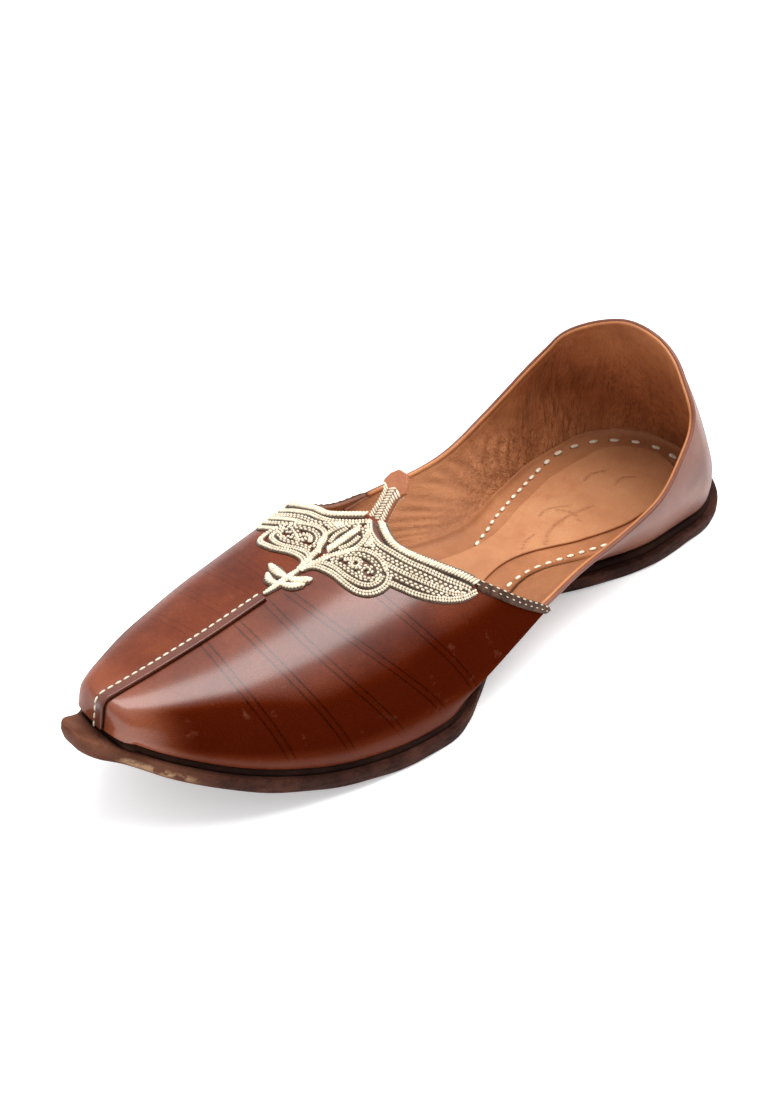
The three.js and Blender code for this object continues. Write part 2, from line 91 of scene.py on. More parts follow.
# along, reach, level, crown, lean
SECTION_TABLE = np.array([
    [0.00, 0.340, 0.30, 1.38, 0.50],
    [0.02, 0.360, 0.30, 1.40, 0.43],
    [0.07, 0.378, 0.40, 1.40, 0.34],
    [0.165, 0.418, 0.55, 1.43, 0.09],
    [0.25, 0.438, 0.52, 1.38, 0],
    [0.345, 0.425, 0.36, 1.22, 0],
    [0.45, 0.455, 0.28, 1.05, 0],
    [0.50, 0.465, 0.22, 0.98, 0],
    [0.57, 0.478, 0.16, 0.965, 0],
    [0.65, 0.465, 0.12, 0.925, 0],
    [0.75, 0.425, 0.10, 0.87, 0],
    [0.85, 0.330, 0.08, 0.83, 0],
    [0.93, 0.195, 0.06, 0.82, -0.05],
    [0.97, 0.105, 0.05, 0.82, -0.20],
])

# along, height of the collar
COLLAR_TABLE = np.array([
    [0.0087, 1.255], [0.02, 1.22], [0.07, 1.10], [0.12, 0.95], [0.165, 0.83], [0.25, 0.585], [0.345, 0.455],
    [0.42, 0.43], [0.56, 0.42],
])

# step, along, turn
NEAR_THROAT = np.array([
    [0, 0.445, 0.11], [1, 0.486, 0.26], [2, 0.531, 0.465], [3, 0.572, 0.69], [4, 0.588, 0.85], [5, 0.578, 1.0],
])
FAR_THROAT = np.array([
    [0, 0.445, 0.11], [1, 0.512, 0.18], [2, 0.572, 0.37], [3, 0.609, 0.66], [4, 0.605, 0.85], [5, 0.578, 1.0],
])


# Curves and the shoe's forms

def curve(x, y):
    """A smooth curve through points that never swings past them."""
    x = np.asarray(x, float)
    y = np.asarray(y, float)
    step = np.diff(x)
    rise = np.diff(y) / step
    tangent = np.zeros(len(x))
    tangent[0] = rise[0]
    tangent[-1] = rise[-1]
    for i in range(1, len(x) - 1):
        if rise[i - 1] * rise[i] > 0:
            a = 2 * step[i] + step[i - 1]
            b = step[i] + 2 * step[i - 1]
            tangent[i] = (a + b) / (a / rise[i - 1] + b / rise[i])

    def at(value):
        p = np.clip(value, x[0], x[-1])
        i = np.clip(np.searchsorted(x, p, side="left") - 1, 0, len(x) - 2)
        t = (p - x[i]) / step[i]
        u = 1 - t
        return (y[i] * u * u * (1 + 2 * t) + y[i + 1] * t * t * (3 - 2 * t)
                + tangent[i] * step[i] * t * u * u - tangent[i + 1] * step[i] * t * t * u)
    return at


def scaled(table, column, scale):
    return curve(table[:, 0] * SOLE_LENGTH, table[:, column] * scale)


FOOT_START = HEEL_LEDGE
FOOT_END = SOLE_LENGTH - TOE_LEDGE
FOOT_LOW = OUTSOLE_THICKNESS + MIDSOLE_THICKNESS + 2 * GAP
sole_width_at = scaled(SOLE_TABLE, 1, BALL_WIDTH)
reach_at = scaled(SECTION_TABLE, 1, BALL_WIDTH)
level_at = scaled(SECTION_TABLE, 2, INSTEP_HEIGHT)
crown_at = scaled(SECTION_TABLE, 3, INSTEP_HEIGHT)
lean_at = scaled(SECTION_TABLE, 4, 1)
collar_height_at = scaled(COLLAR_TABLE, 1, INSTEP_HEIGHT)


def clamp(value):
    return np.clip(value, 0, 1)


def mix(a, b, t):
    return a + (b - a) * t


def smooth(value):
    t = clamp(value)
    return t * t * (3 - 2 * t)


def round_end(x, start, radius):
    return np.sqrt(np.maximum(1 - (1 - clamp((x - start) / radius)) ** 2, 0))


def sole_half(x):
    from_tip = np.maximum(TIP_CORNER - (SOLE_LENGTH - x), 0)
    corner = TIP_CORNER - np.sqrt(np.maximum(TIP_CORNER ** 2 - from_tip ** 2, 0))
    return sole_width_at(x) * round_end(x, 0, HEEL_RADIUS) - corner


def lift(x):
    share = x / SOLE_LENGTH
    spring = TOE_SPRING * np.maximum((share - SPRING_START) / (1 - SPRING_START), 0) ** SPRING_POWER
    arch = ARCH_LIFT * np.sin(np.pi * clamp((share - ARCH_START) / (ARCH_END - ARCH_START))) ** 2
    return spring + arch


def level(x, thickness):
    slope = lift(x + 0.5) - lift(x - 0.5)
    return lift(x) + thickness * np.hypot(1, slope)


def end_round(x):
    toe = clamp((x - FOOT_END + TOE_BOX_CORNER) / TOE_BOX_CORNER)
    return round_end(x, FOOT_START, HEEL_RADIUS - HEEL_LEDGE) * np.maximum(1 - toe ** 2.6, 0) ** (1 / 2.6)


def foot_half(x):
    return (sole_width_at(np.minimum(x, FOOT_END - TOE_BOX_CORNER)) - SIDE_LEDGE) * end_round(x)


def upper_point(x, turn, side):
    """A point of the upper's outer surface, for arrays of places and turns."""
    power = 2 / FULLNESS
    low = level(x, FOOT_LOW)
    z = low + (crown_at(x) - low) * np.maximum(np.sin(turn), 0) ** power
    flare = np.sin(np.pi / 2 * clamp((z - low) / level_at(x)))
    foot = foot_half(x)
    wide = np.maximum(reach_at(x) * end_round(x), foot * 0.9)
    y = mix(foot, wide, flare) * np.maximum(np.cos(turn), 0) ** power
    return np.stack([x + lean_at(x) * (z - low), side * y, z], -1)


def turn_for_height(x, z):
    low = level(x, FOOT_LOW)
    return np.arcsin(clamp((z - low) / (crown_at(x) - low)) ** (FULLNESS / 2))


def place(points):
    """Points in millimetres, swung and moved to the part's frame, in metres."""
    moved = np.array(points, float)
    share = np.maximum((moved[..., 0] / SOLE_LENGTH - ARCH_END) / (1 - ARCH_END), 0)
    moved[..., 1] += TOE_SWING * share ** 2
    moved[..., 0] -= SOLE_LENGTH / 2
    return moved * 0.001


def swing(x):
    return TOE_SWING * np.maximum((x / SOLE_LENGTH - ARCH_END) / (1 - ARCH_END), 0) ** 2


# Meshes from points

def weld(points, faces, near=1e-3):
    """Merge points that lie together and drop the faces that this closes up."""
    keys = np.round(points / near).astype(np.int64)
    _, first, back = np.unique(keys, axis=0, return_index=True, return_inverse=True)
    back = back.reshape(-1)
    faces = back[faces]
    kept = []
    for face in faces:
        ring = [v for i, v in enumerate(face) if v != face[i - 1]]
        if len(set(ring)) == len(ring) and len(ring) > 2:
            kept.append(ring)
    return points[first], kept, first


def grid_faces(columns, rows, offset=0, flip=False, closed=False):
    i = np.arange(columns if closed else columns - 1)[:, None]
    j = np.arange(rows - 1)[None, :]
    a = i * rows + j
    b = ((i + 1) % columns) * rows + j
    quads = np.stack([a, b, b + 1, a + 1], -1).reshape(-1, 4) + offset
    return quads[:, ::-1] if flip else quads


def ring_faces(rings, sides, flip=False):
    """Faces between closed rings of points."""
    faces = []
    for ring in range(rings - 1):
        for k in range(sides):
            a = ring * sides + k
            b = ring * sides + (k + 1) % sides
            faces.append([a, a + sides, b + sides, b] if flip else [a, b, b + sides, a + sides])
    return faces


def vertex_normals(points, faces):
    total = np.zeros_like(points)
    for size in (3, 4):
        group = np.array([f for f in faces if len(f) == size], dtype=int)
        if not len(group):
            continue
        across = points[group[:, 2]] - points[group[:, 0]]
        other = points[group[:, size - 1]] - points[group[:, 1]]
        normal = np.cross(across, other)
        for k in range(size):
            np.add.at(total, group[:, k], normal)
    return total / np.maximum(np.linalg.norm(total, axis=1), 1e-9)[:, None]


def open_edges(faces):
    seen = set()
    for face in faces:
        for i, b in enumerate(face):
            seen.add((face[i - 1], b))
    return [(a, b) for a, b in seen if (b, a) not in seen]


def make_object(name, points, faces, materials, face_materials=None, smooth_faces=True, attributes=None):
    mesh = bpy.data.meshes.new(name)
    mesh.from_pydata(place(points).tolist(), [], [list(map(int, f)) for f in faces])
    for material in materials:
        mesh.materials.append(material)
    if face_materials is not None:
        mesh.polygons.foreach_set("material_index", np.asarray(face_materials, np.int32))
    mesh.polygons.foreach_set("use_smooth", np.full(len(faces), smooth_faces))
    for key, values in (attributes or {}).items():
        layer = mesh.attributes.new(key, "FLOAT", "POINT")
        layer.data.foreach_set("value", np.asarray(values, np.float32))
    mesh.update()
    obj = bpy.data.objects.new(name, mesh)
    bpy.context.scene.collection.objects.link(obj)
    return obj


def shell(name, points, faces, outer, inner, materials, attributes=None):
    """A closed wall between two offsets of an open surface. The first material is outside, the second
    inside, and the third on the edges. outer and inner may be arrays, one value a point."""
    normal = vertex_normals(points, faces)
    count = len(points)
    middle = np.abs(points[:, 1]) < 1e-6
    out = points + normal * np.asarray(outer, float).reshape(-1, 1)
    back = points + normal * np.asarray(inner, float).reshape(-1, 1)
    out[middle, 1] = 0
    back[middle, 1] = 0
    inside = [[v + count for v in face[::-1]] for face in faces]
    rim = [[b, a, a + count, b + count] for a, b in open_edges(faces)]
    which = [0] * len(faces) + [1] * len(inside) + [2] * len(rim)
    doubled = {key: np.tile(values, 2) for key, values in (attributes or {}).items()}
    return make_object(name, np.vstack([out, back]), list(faces) + inside + rim, materials, which,
                       attributes=doubled)


def outline_places(start, end, count):
    """Places along the foot's outline, evenly spaced along its edge."""
    t = np.linspace(0, 1, 4001)
    x = mix(start, end, (1 - np.cos(np.pi * t)) / 2)
    y = foot_half(x)
    travelled = np.concatenate([[0], np.cumsum(np.hypot(np.diff(x), np.diff(y)))])
    return np.interp(np.linspace(0, travelled[-1], count + 1), travelled, x)


def column(bottom, top, top_turn, side, rows):
    t = np.linspace(0, 1, 241)
    across = mix(bottom, top, mix(t, t ** 6, LEAN_LATE))
    points = upper_point(across, top_turn * t ** 1.5, side)
    turns = top_turn * t ** 1.5
    far = np.concatenate([[0], np.cumsum(np.linalg.norm(np.diff(points, axis=0), axis=1))])
    want = np.linspace(0, far[-1], rows + 1)
    even = np.stack([np.interp(want, far, points[:, k]) for k in range(3)], 1)
    return even, np.interp(want, far, turns), np.interp(want, far, across), want


# Materials

class Nodes:
    """Short calls to build a material's nodes."""

    def __init__(self, name):
        self.material = bpy.data.materials.new(name)
        self.material.use_nodes = True
        self.tree = self.material.node_tree
        self.shader = self.tree.nodes["Principled BSDF"]

    def add(self, kind, inputs=None, **values):
        node = self.tree.nodes.new(kind)
        for key, value in values.items():
            setattr(node, key, value)
        for key, value in (inputs or {}).items():
            if isinstance(value, bpy.types.NodeSocket):
                self.tree.links.new(value, node.inputs[key])
            else:
                node.inputs[key].default_value = value
        return node

    def position(self):
        return self.add("ShaderNodeTexCoord").outputs["Object"]

    def noise(self, scale, detail=4.0, rough=0.55, stretch=None):
        vector = self.position()
        if stretch:
            vector = self.add("ShaderNodeMapping", {"Vector": vector, "Scale": stretch}).outputs[0]
        return self.add("ShaderNodeTexNoise", {"Vector": vector, "Scale": scale, "Detail": detail,
                                               "Roughness": rough}).outputs["Fac"]

    def cells(self, scale):
        node = self.add("ShaderNodeTexVoronoi", {"Vector": self.position(), "Scale": scale},
                        feature="DISTANCE_TO_EDGE")
        return node.outputs["Distance"]

    def ramp(self, value, stops):
        node = self.add("ShaderNodeValToRGB", {"Fac": value})
        while len(node.color_ramp.elements) < len(stops):
            node.color_ramp.elements.new(0.5)
        for element, (at, color) in zip(node.color_ramp.elements, stops):
            element.position = at
            element.color = (*color, 1)
        return node.outputs["Color"]

    def grey(self, value, low, high, start=0.0, end=1.0):
        node = self.add("ShaderNodeMapRange", {"Value": value, "From Min": start, "From Max": end,
                                               "To Min": low, "To Max": high})
        return node.outputs["Result"]

    def math(self, kind, a, b=0.0):
        return self.add("ShaderNodeMath", {0: a, 1: b}, operation=kind).outputs[0]

    def times(self, a, b):
        return self.math("MULTIPLY", a, b)

    def blend(self, amount, a, b):
        """Colour a turned toward b, which may be a plain colour."""
        b = b if isinstance(b, bpy.types.NodeSocket) else (*b, 1)
        return self.add("ShaderNodeMix", {0: amount, 6: a, 7: b}, data_type="RGBA").outputs[2]

    def attribute(self, name):
        return self.add("ShaderNodeAttribute", attribute_name=name).outputs["Fac"]

    def bump(self, height, distance, strength=1.0, after=None):
        inputs = {"Height": height, "Distance": distance, "Strength": strength}
        if after is not None:
            inputs["Normal"] = after
        return self.add("ShaderNodeBump", inputs).outputs[0]

    def finish(self, color, roughness, normal=None, **values):
        inputs = {"Base Color": color, "Roughness": roughness, "Normal": normal}
        inputs.update({key.replace("_", " "): value for key, value in values.items()})
        for key, value in inputs.items():
            if isinstance(value, bpy.types.NodeSocket):
                self.tree.links.new(value, self.shader.inputs[key])
            elif value is not None:
                self.shader.inputs[key].default_value = value
        return self.material


COAT_ROUGHNESS = 0.24
COAT_IOR = 1.75


def leather(name, dark, mid, light, roughness=(0.32, 0.5), grain=0.00012, pores=1500.0, coat=0.0, kind="",
            blotch=38.0, specular=0.4):
    n = Nodes(name)
    cloud = n.noise(blotch, 6.0, 0.6)
    color = n.ramp(cloud, [(0.3, dark), (0.5, mid), (0.72, light)])
    speck = n.noise(900.0, 3.0, 0.6)
    color = n.blend(n.grey(speck, 0.0, 0.35, 0.45, 0.75), color, dark)
    rough = n.grey(n.noise(60.0, 5.0, 0.6), roughness[0], roughness[1], 0.3, 0.7)
    pore = n.cells(pores)
    height = n.math("ADD", n.grey(pore, 0.0, 1.0, 0.0, 0.25), n.times(n.noise(420.0, 5.0, 0.65), 0.8))
    normal = n.bump(height, grain, 0.6)
    if kind == "vamp":
        near = n.attribute("groove")
        line = n.grey(n.math("ABSOLUTE", n.math("SUBTRACT", near, GROOVE_SPACING / 2)), 1.0, 0.0, 0.0, 0.42)
        shade = n.times(line, n.attribute("groove_depth"))
        # Painted shade: the foot of the near wall is turned toward a near-black red, and its coat and specular
        # are turned down there
        wall_shade = n.attribute("wall_shade")
        color = n.blend(wall_shade, color, (0.055, 0.005, 0.0009))
        color = n.blend(n.times(n.attribute("pale"), 0.55), color, (0.36, 0.10, 0.045))
        color = n.blend(n.times(shade, 0.42), color, tuple(c * 0.35 for c in dark))
        scuff = n.grey(n.noise(140.0, 8.0, 0.7, stretch=(1.0, 0.4, 1.0)), 0.0, 1.0, 0.62, 0.72)
        color = n.blend(n.times(scuff, 0.16), color, (0.40, 0.16, 0.09))
        dry = n.times(n.grey(wall_shade, 1.0, 0.0, 0.0, 0.75), n.attribute("shine"))
        coat = n.times(dry, coat)
        specular = n.times(dry, specular)
        normal = n.bump(n.times(shade, -1.0), 0.0005, 0.9, normal)
    if kind == "lining":
        tan = n.ramp(cloud, [(0.3, (0.28, 0.105, 0.042)), (0.7, (0.40, 0.165, 0.070))])
        color = n.blend(n.attribute("tan"), color, tan)
        folds = n.noise(300.0, 4.0, 0.55, stretch=(1.0, 1.0, 0.2))
        fine = n.noise(620.0, 4.0, 0.6, stretch=(1.0, 1.0, 0.35))
        wrinkle = n.math("ADD", n.grey(folds, 0.0, 1.0, 0.35, 0.65), n.times(fine, 0.7))
        amount = n.attribute("wrinkle")
        normal = n.bump(n.times(wrinkle, amount), 0.0011, 0.9, normal)
        # Painted shade in the fold troughs and along the creases
        groove = n.times(n.grey(folds, 1.0, 0.0, 0.36, 0.46), amount)
        color = n.blend(n.times(groove, 0.32), color, tuple(c * 0.5 for c in dark))
        color = n.blend(n.times(n.attribute("crease"), 0.45), color, tuple(c * 0.5 for c in dark))
    if kind == "sock":
        stain = n.grey(n.noise(55.0, 8.0, 0.62, stretch=(1.0, 1.6, 1.0)), 0.0, 1.0, 0.56, 0.66)
        color = n.blend(n.times(stain, 0.35), color, (0.33, 0.10, 0.035))
        mark = n.times(n.attribute("mark"), n.grey(n.noise(800.0, 4.0, 0.7), 0.35, 1.0, 0.4, 0.6))
        color = n.blend(n.times(mark, 0.75), color, (0.20, 0.055, 0.022))
        normal = n.bump(n.times(n.attribute("mark"), -1.0), 0.0003, 0.8, normal)
    if kind == "sole":
        rough_side = n.noise(260.0, 7.0, 0.7, stretch=(1.0, 1.0, 2.2))
        normal = n.bump(rough_side, 0.0011, 0.8, normal)
        color = n.blend(n.grey(rough_side, 0.5, 0.0, 0.36, 0.5), color, tuple(c * 0.35 for c in dark))
        tip = n.ramp(cloud, [(0.35, (0.11, 0.036, 0.02)), (0.65, (0.22, 0.085, 0.048))])
        color = n.blend(n.attribute("tip"), color, tip)
        worn = n.times(n.attribute("worn"), n.grey(n.noise(230.0, 6.0, 0.7), 0.0, 1.0, 0.44, 0.54))
        color = n.blend(worn, color, (0.46, 0.27, 0.15))
    return n.finish(color, rough, normal, Coat_Roughness=COAT_ROUGHNESS, Coat_IOR=COAT_IOR, Coat_Weight=coat,
                    Specular_IOR_Level=specular)


VAMP_LEATHER = leather("vamp_leather", (0.085, 0.012, 0.003), (0.150, 0.026, 0.006), (0.21, 0.046, 0.012),
                       (0.40, 0.5), grain=0.0003, coat=0.6, kind="vamp", specular=0.04)
QUARTER_LEATHER = leather("quarter_leather", (0.12, 0.036, 0.020), (0.18, 0.058, 0.033), (0.23, 0.082, 0.048),
                          (0.40, 0.55), coat=0.12, specular=0.25)
LINING = leather("lining_leather", (0.29, 0.095, 0.033), (0.44, 0.160, 0.060), (0.56, 0.225, 0.089),
                 (0.42, 0.6), grain=0.00025, kind="lining", specular=0.25)
EDGE = leather("cut_edge", (0.10, 0.035, 0.018), (0.17, 0.06, 0.03), (0.25, 0.10, 0.05), (0.5, 0.7))
SOCK_LEATHER = leather("sock_leather", (0.36, 0.138, 0.055), (0.44, 0.188, 0.082), (0.50, 0.235, 0.108),
                       (0.4, 0.6), kind="sock", specular=0.3)
SOLE_LEATHER = leather("sole_leather", (0.026, 0.010, 0.007), (0.058, 0.020, 0.013), (0.105, 0.040, 0.025),
                       (0.5, 0.75), grain=0.0004, blotch=70.0, kind="sole", specular=0.06)
# Near-black leather, partly painted shade: the midsole strip, and the toe seam's painted shadow line
DARK_LEATHER_AND_SHADE = leather("dark_leather_and_shade", (0.010, 0.004, 0.003), (0.022, 0.009, 0.006), (0.045, 0.019, 0.012),
                       (0.7, 0.9), grain=0.0005, specular=0.04)
PIPING_LEATHER = leather("piping_leather", (0.32, 0.11, 0.040), (0.46, 0.175, 0.065), (0.56, 0.24, 0.10),
                         (0.4, 0.55), specular=0.25)
MARGIN = leather("margin_leather", (0.26, 0.095, 0.037), (0.35, 0.135, 0.054), (0.43, 0.18, 0.078),
                 (0.45, 0.6), specular=0.25)
SEAM_LEATHER = leather("seam_leather", (0.075, 0.012, 0.004), (0.125, 0.024, 0.008), (0.17, 0.038, 0.014),
                       (0.35, 0.5), grain=0.0003, coat=0.5, specular=0.1)
TAB_LEATHER = leather("tab_leather", (0.24, 0.075, 0.030), (0.38, 0.125, 0.052), (0.48, 0.18, 0.08),
                      (0.4, 0.55))


def cloth(name, dark, light, roughness, scale, grain):
    n = Nodes(name)
    fine = n.noise(scale, 3.0, 0.6)
    color = n.ramp(fine, [(0.32, dark), (0.68, light)])
    normal = n.bump(n.noise(scale * 2.2, 2.0, 0.6), grain, 0.6)
    return n.finish(color, roughness, normal, Sheen_Weight=0.2)


THREAD = cloth("cream_thread", (0.56, 0.46, 0.32), (0.86, 0.76, 0.60), 0.6, 700.0, 0.0002)
PALE_THREAD = cloth("pale_thread", (0.45, 0.38, 0.27), (0.72, 0.64, 0.48), 0.6, 700.0, 0.0002)
FELT = cloth("dark_ground", (0.035, 0.018, 0.008), (0.12, 0.07, 0.035), 0.85, 900.0, 0.0002)
BINDING_LEATHER = leather("binding_leather", (0.035, 0.014, 0.008), (0.075, 0.034, 0.020), (0.15, 0.078, 0.048),
                          (0.5, 0.7), grain=0.0005, specular=0.15, blotch=300.0)


# Upper

THROAT_COLUMNS = 14
VAMP_COLUMNS = 24
FINE = 9
VAMP_ROWS = 96
vamp_start = NEAR_THROAT[0, 1] * SOLE_LENGTH


def throat_top(rows, t):
    step = t * (len(rows) - 1)
    return (curve(rows[:, 0], rows[:, 1] * SOLE_LENGTH)(step),
            curve(rows[:, 0], rows[:, 2] * np.pi / 2)(step))


# Crosswise double lines pressed into the vamp. A row for each pair: its place along the shoe at the middle,
# and at 0.65, 0.4, 0.17 and none of the way up the arch of the section
GROOVE_TURNS = np.array([0.0, 0.17, 0.4, 0.65, 1.0])
GROOVES = np.array([
    [0.655, 0.650, 0.628, 0.597, 0.572],
    [0.722, 0.713, 0.690, 0.646, 0.622],
    [0.748, 0.750, 0.737, 0.702, 0.680],
    [0.790, 0.791, 0.782, 0.762, 0.745],
    [0.834, 0.840, 0.836, 0.824, 0.812],
])


def vamp():
    points = []
    faces = []
    turns = []
    places = []
    count = VAMP_COLUMNS * FINE
    bottoms = outline_places(vamp_start, FOOT_END, count)
    for side, rows in ((1, NEAR_THROAT), (-1, FAR_THROAT)):
        start = len(points)
        for i, bottom in enumerate(bottoms):
            share = i / FINE
            if share <= THROAT_COLUMNS:
                top, turn = throat_top(rows, share / THROAT_COLUMNS)
            else:
                along = (share - THROAT_COLUMNS) / (VAMP_COLUMNS - THROAT_COLUMNS)
                top, turn = mix(rows[-1, 1] * SOLE_LENGTH, FOOT_END, along), np.pi / 2
            grid, turned, across, _ = column(bottom, top, turn, side, VAMP_ROWS)
            points.append(grid)
            turns.append(turned)
            places.append(across)
        faces.append(grid_faces(count + 1, VAMP_ROWS + 1, start * (VAMP_ROWS + 1), flip=side > 0))
    welded, kept, first = weld(np.concatenate(points), np.concatenate(faces))
    share = np.concatenate(places)[first] / SOLE_LENGTH
    height = np.concatenate(turns)[first] / (np.pi / 2)
    # Distance to the nearest pair of lines, and how deep that pair is there
    distance = np.full(len(welded), 9.0)
    for row in GROOVES:
        line = np.polyval(np.polyfit(GROOVE_TURNS, row[::-1], 2), height)
        distance = np.minimum(distance, np.abs(share - line) * SOLE_LENGTH)
    near_side = smooth((welded[:, 1] + 4) / 8)
    depth = (0.35 + 0.65 * near_side) * smooth((1 - height) / 0.04) * smooth(height / 0.1)
    # Painted shade along the foot of the near wall, stronger on the near side, up to top, where the coat's
    # gloss is also turned down; and a paler toe
    top = 0.50 + 0.17 * smooth((share - 0.76) / 0.12)
    shine = 0.4 + 0.6 * near_side
    wall_shade = 0.95 * smooth((top - height) / 0.2) * (0.6 + 0.4 * smooth(height / 0.1)) * shine
    wall_shade = wall_shade * (1 - smooth((share - 0.91) / 0.05))
    pale = 0.8 * smooth((share - 0.90) / 0.06)
    pale = pale + (1 - smooth(height / 0.1)) * 0.25 * smooth((share - 0.55) / 0.2)
    attributes = {"groove": distance, "groove_depth": depth, "wall_shade": wall_shade, "shine": shine,
                  "pale": clamp(pale), "tan": np.full(len(welded), 0.8)}
    return shell("vamp", welded, kept, 0, -UPPER_WALL, [VAMP_LEATHER, LINING, EDGE], attributes)


QUARTER_COLUMNS = 260
QUARTER_ROWS = 80

# Creases of the lining, each from one place to another: along in millimetres and share of the wall's height,
# then the depth and the half width in millimetres. They are on the far side, and the last eight on both
CREASES = [
    (97, 0.08, 126, 0.62, 0.55, 2.0), (95, 0.10, 118, 0.74, 0.6, 2.1), (92, 0.12, 110, 0.86, 0.55, 2.0),
    (89, 0.12, 101, 0.88, 0.5, 1.9), (86, 0.14, 92, 0.84, 0.55, 2.0), (83, 0.12, 83, 0.80, 0.45, 1.8),
    (79, 0.12, 75, 0.72, 0.5, 1.9), (101, 0.06, 134, 0.50, 0.45, 2.0), (105, 0.06, 139, 0.36, 0.4, 1.8),
    (74, 0.14, 67, 0.62, 0.45, 1.8), (90, 0.30, 97, 0.95, 0.35, 1.5), (70, 0.10, 60, 0.50, 0.4, 1.8),
    (96, 0.05, 88, 0.16, 0.45, 1.6), (112, 0.06, 143, 0.25, 0.35, 1.6),
    (18, 0.12, 16, 0.62, 0.32, 1.5), (23, 0.15, 22, 0.70, 0.36, 1.6), (29, 0.12, 29, 0.74, 0.36, 1.6),
    (35, 0.14, 36, 0.66, 0.34, 1.6), (42, 0.12, 42, 0.60, 0.36, 1.7), (48, 0.16, 50, 0.70, 0.34, 1.6),
    (54, 0.12, 55, 0.55, 0.34, 1.6), (61, 0.16, 63, 0.62, 0.32, 1.6),
]
CREASES_ON_BOTH = 8
CREASE_DEPTH = 0.7


def crease_field(x, height, side):
    """Troughs and the low ridges beside them: the inward push and how dark the painted shade in the troughs
    makes each place.
    """
    push = np.zeros_like(x)
    dark = np.zeros_like(x)
    for i, (x0, h0, x1, h1, depth, half) in enumerate(CREASES):
        here = np.where(side < 0, 1.0, float(i >= len(CREASES) - CREASES_ON_BOTH))
        bow = 2.2 * math.sin(i * 2.4)
        share = clamp((height - h0) / (h1 - h0))
        line = mix(x0, x1, share) + bow * np.sin(np.pi * share)
        ends = here * smooth((height - h0 + 0.06) / 0.12) * smooth((h1 + 0.06 - height) / 0.2)
        # Measure across the crease rather than along the shoe
        slant = math.cos(math.atan2(x1 - x0, (h1 - h0) * 50))
        off = (x - line) * slant / half
        trough = np.exp(-off ** 2)
        ridge = np.exp(-(np.abs(off) - 1.9) ** 2 / 0.8)
        push += ends * depth * CREASE_DEPTH * (0.5 * ridge - trough)
        dark = np.maximum(dark, ends * trough * depth)
    return push, dark


def quarter():
    points = []
    faces = []
    bottoms = outline_places(FOOT_START, vamp_start + QUARTER_TUCK, QUARTER_COLUMNS)
    rows = QUARTER_ROWS + 1
    for side in (1, -1):
        start = len(points) * rows
        for x in bottoms:
            turn = turn_for_height(x, collar_height_at(x))
            points.append(column(x, x, turn, side, QUARTER_ROWS)[0])
        faces.append(grid_faces(QUARTER_COLUMNS + 1, rows, start, flip=side > 0))
    welded, kept, first = weld(np.concatenate(points), np.concatenate(faces))
    x = np.tile(np.repeat(bottoms, rows), 2)[first]
    height = np.tile(np.linspace(0, 1, rows), len(points))[first]
    side = np.repeat([1, -1], len(bottoms) * rows)[first]
    push, dark = crease_field(x, height, side)
    wrinkle = (0.35 + 0.65 * smooth((0.85 - height) / 0.5)) * smooth((0.97 - height) / 0.06)
    wrinkle = wrinkle * (1 - 0.75 * smooth((x - 75) / 30))
    tan = smooth((x - 30) / 75) * 0.9 * (0.75 + 0.25 * (side > 0))
    inner = -VAMP_STEP - UPPER_WALL - push * smooth((0.97 - height) / 0.1)
    return shell("quarter", welded, kept, -VAMP_STEP, inner, [QUARTER_LEATHER, LINING, EDGE],
                 {"wrinkle": wrinkle, "crease": dark, "tan": tan})


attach(vamp(), "root")
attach(quarter(), "root")
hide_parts("upper")
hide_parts("upper")


# Sole layers

def layer_outline(half, start, end, inset, count):
    t = np.linspace(0, 1, count + 1)
    x = mix(start + 0.02, end - 0.02, (1 - np.cos(np.pi * t)) / 2)
    step = 0.02
    run = np.minimum(x + step, end) - np.maximum(x - step, start)
    rise = half(np.minimum(x + step, end)) - half(np.maximum(x - step, start))
    long = np.hypot(run, rise)
    px = x + inset * rise / long
    py = half(x) - inset * run / long
    kept = []
    for a, b in zip(px, py):
        if b < 0.4 or not start + inset * 0.8 < a < end - inset * 0.8:
            continue
        if kept and a < kept[-1][0] + 0.02:
            continue
        kept.append((a, b))
    return np.array(kept)


def layer(name, half, start, end, profile, count, materials, wobble=0.0, attributes=None, wall_inset=0):
    """A sole layer from a profile of (inset, height) pairs, low to high, closed across both faces.
    One that lies against the upper's wall follows its lean."""
    base = layer_outline(half, start, end, wall_inset, count)
    rings = []
    for inset, height in profile:
        x = mix(base[:, 0], SOLE_LENGTH / 2, 2 * inset / SOLE_LENGTH)
        if wall_inset:
            x = x + lean_at(base[:, 0]) * max(height - FOOT_LOW, 0)
        y = base[:, 1] - inset * clamp(base[:, 1] / BALL_WIDTH * 8)
        y = y + wobble * np.sin(base[:, 0] * 0.21 + height) * np.sin(base[:, 0] * 0.083 + 1.3 * height)
        near = np.stack([x, y, level(x, height)], 1)
        far = near[::-1] * [1, -1, 1]
        rings.append(np.vstack([near, far]))
    loop = len(rings[0])
    points = np.vstack(rings)
    faces = ring_faces(len(rings), loop, flip=True)
    top = (len(rings) - 1) * loop
    for i in range(loop // 2 - 1):
        j = loop - 1 - i
        faces.append([i, i + 1, j - 1, j])
        faces.append([top + i, top + j, top + j - 1, top + i + 1])
    values = attributes(points) if attributes else None
    obj = make_object(name, points, faces, materials, attributes=values)
    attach(obj, "root")
    return obj


def worn_places(points):
    """Where the sole's edge is worn pale, near the tip, and how far the tip's paler leather reaches."""
    x, y = points[:, 0], points[:, 1]
    height = points[:, 2] - lift(x)
    near = smooth((y - 2) / 3)
    streak = smooth((x - 262) / 6) * smooth((283 - x) / 5) * near * smooth((height - 0.5) / 1.2)
    streak = streak * smooth((4.6 - height) / 1.6)
    return {"worn": streak, "tip": 0.85 * smooth((x - 246) / 34)}


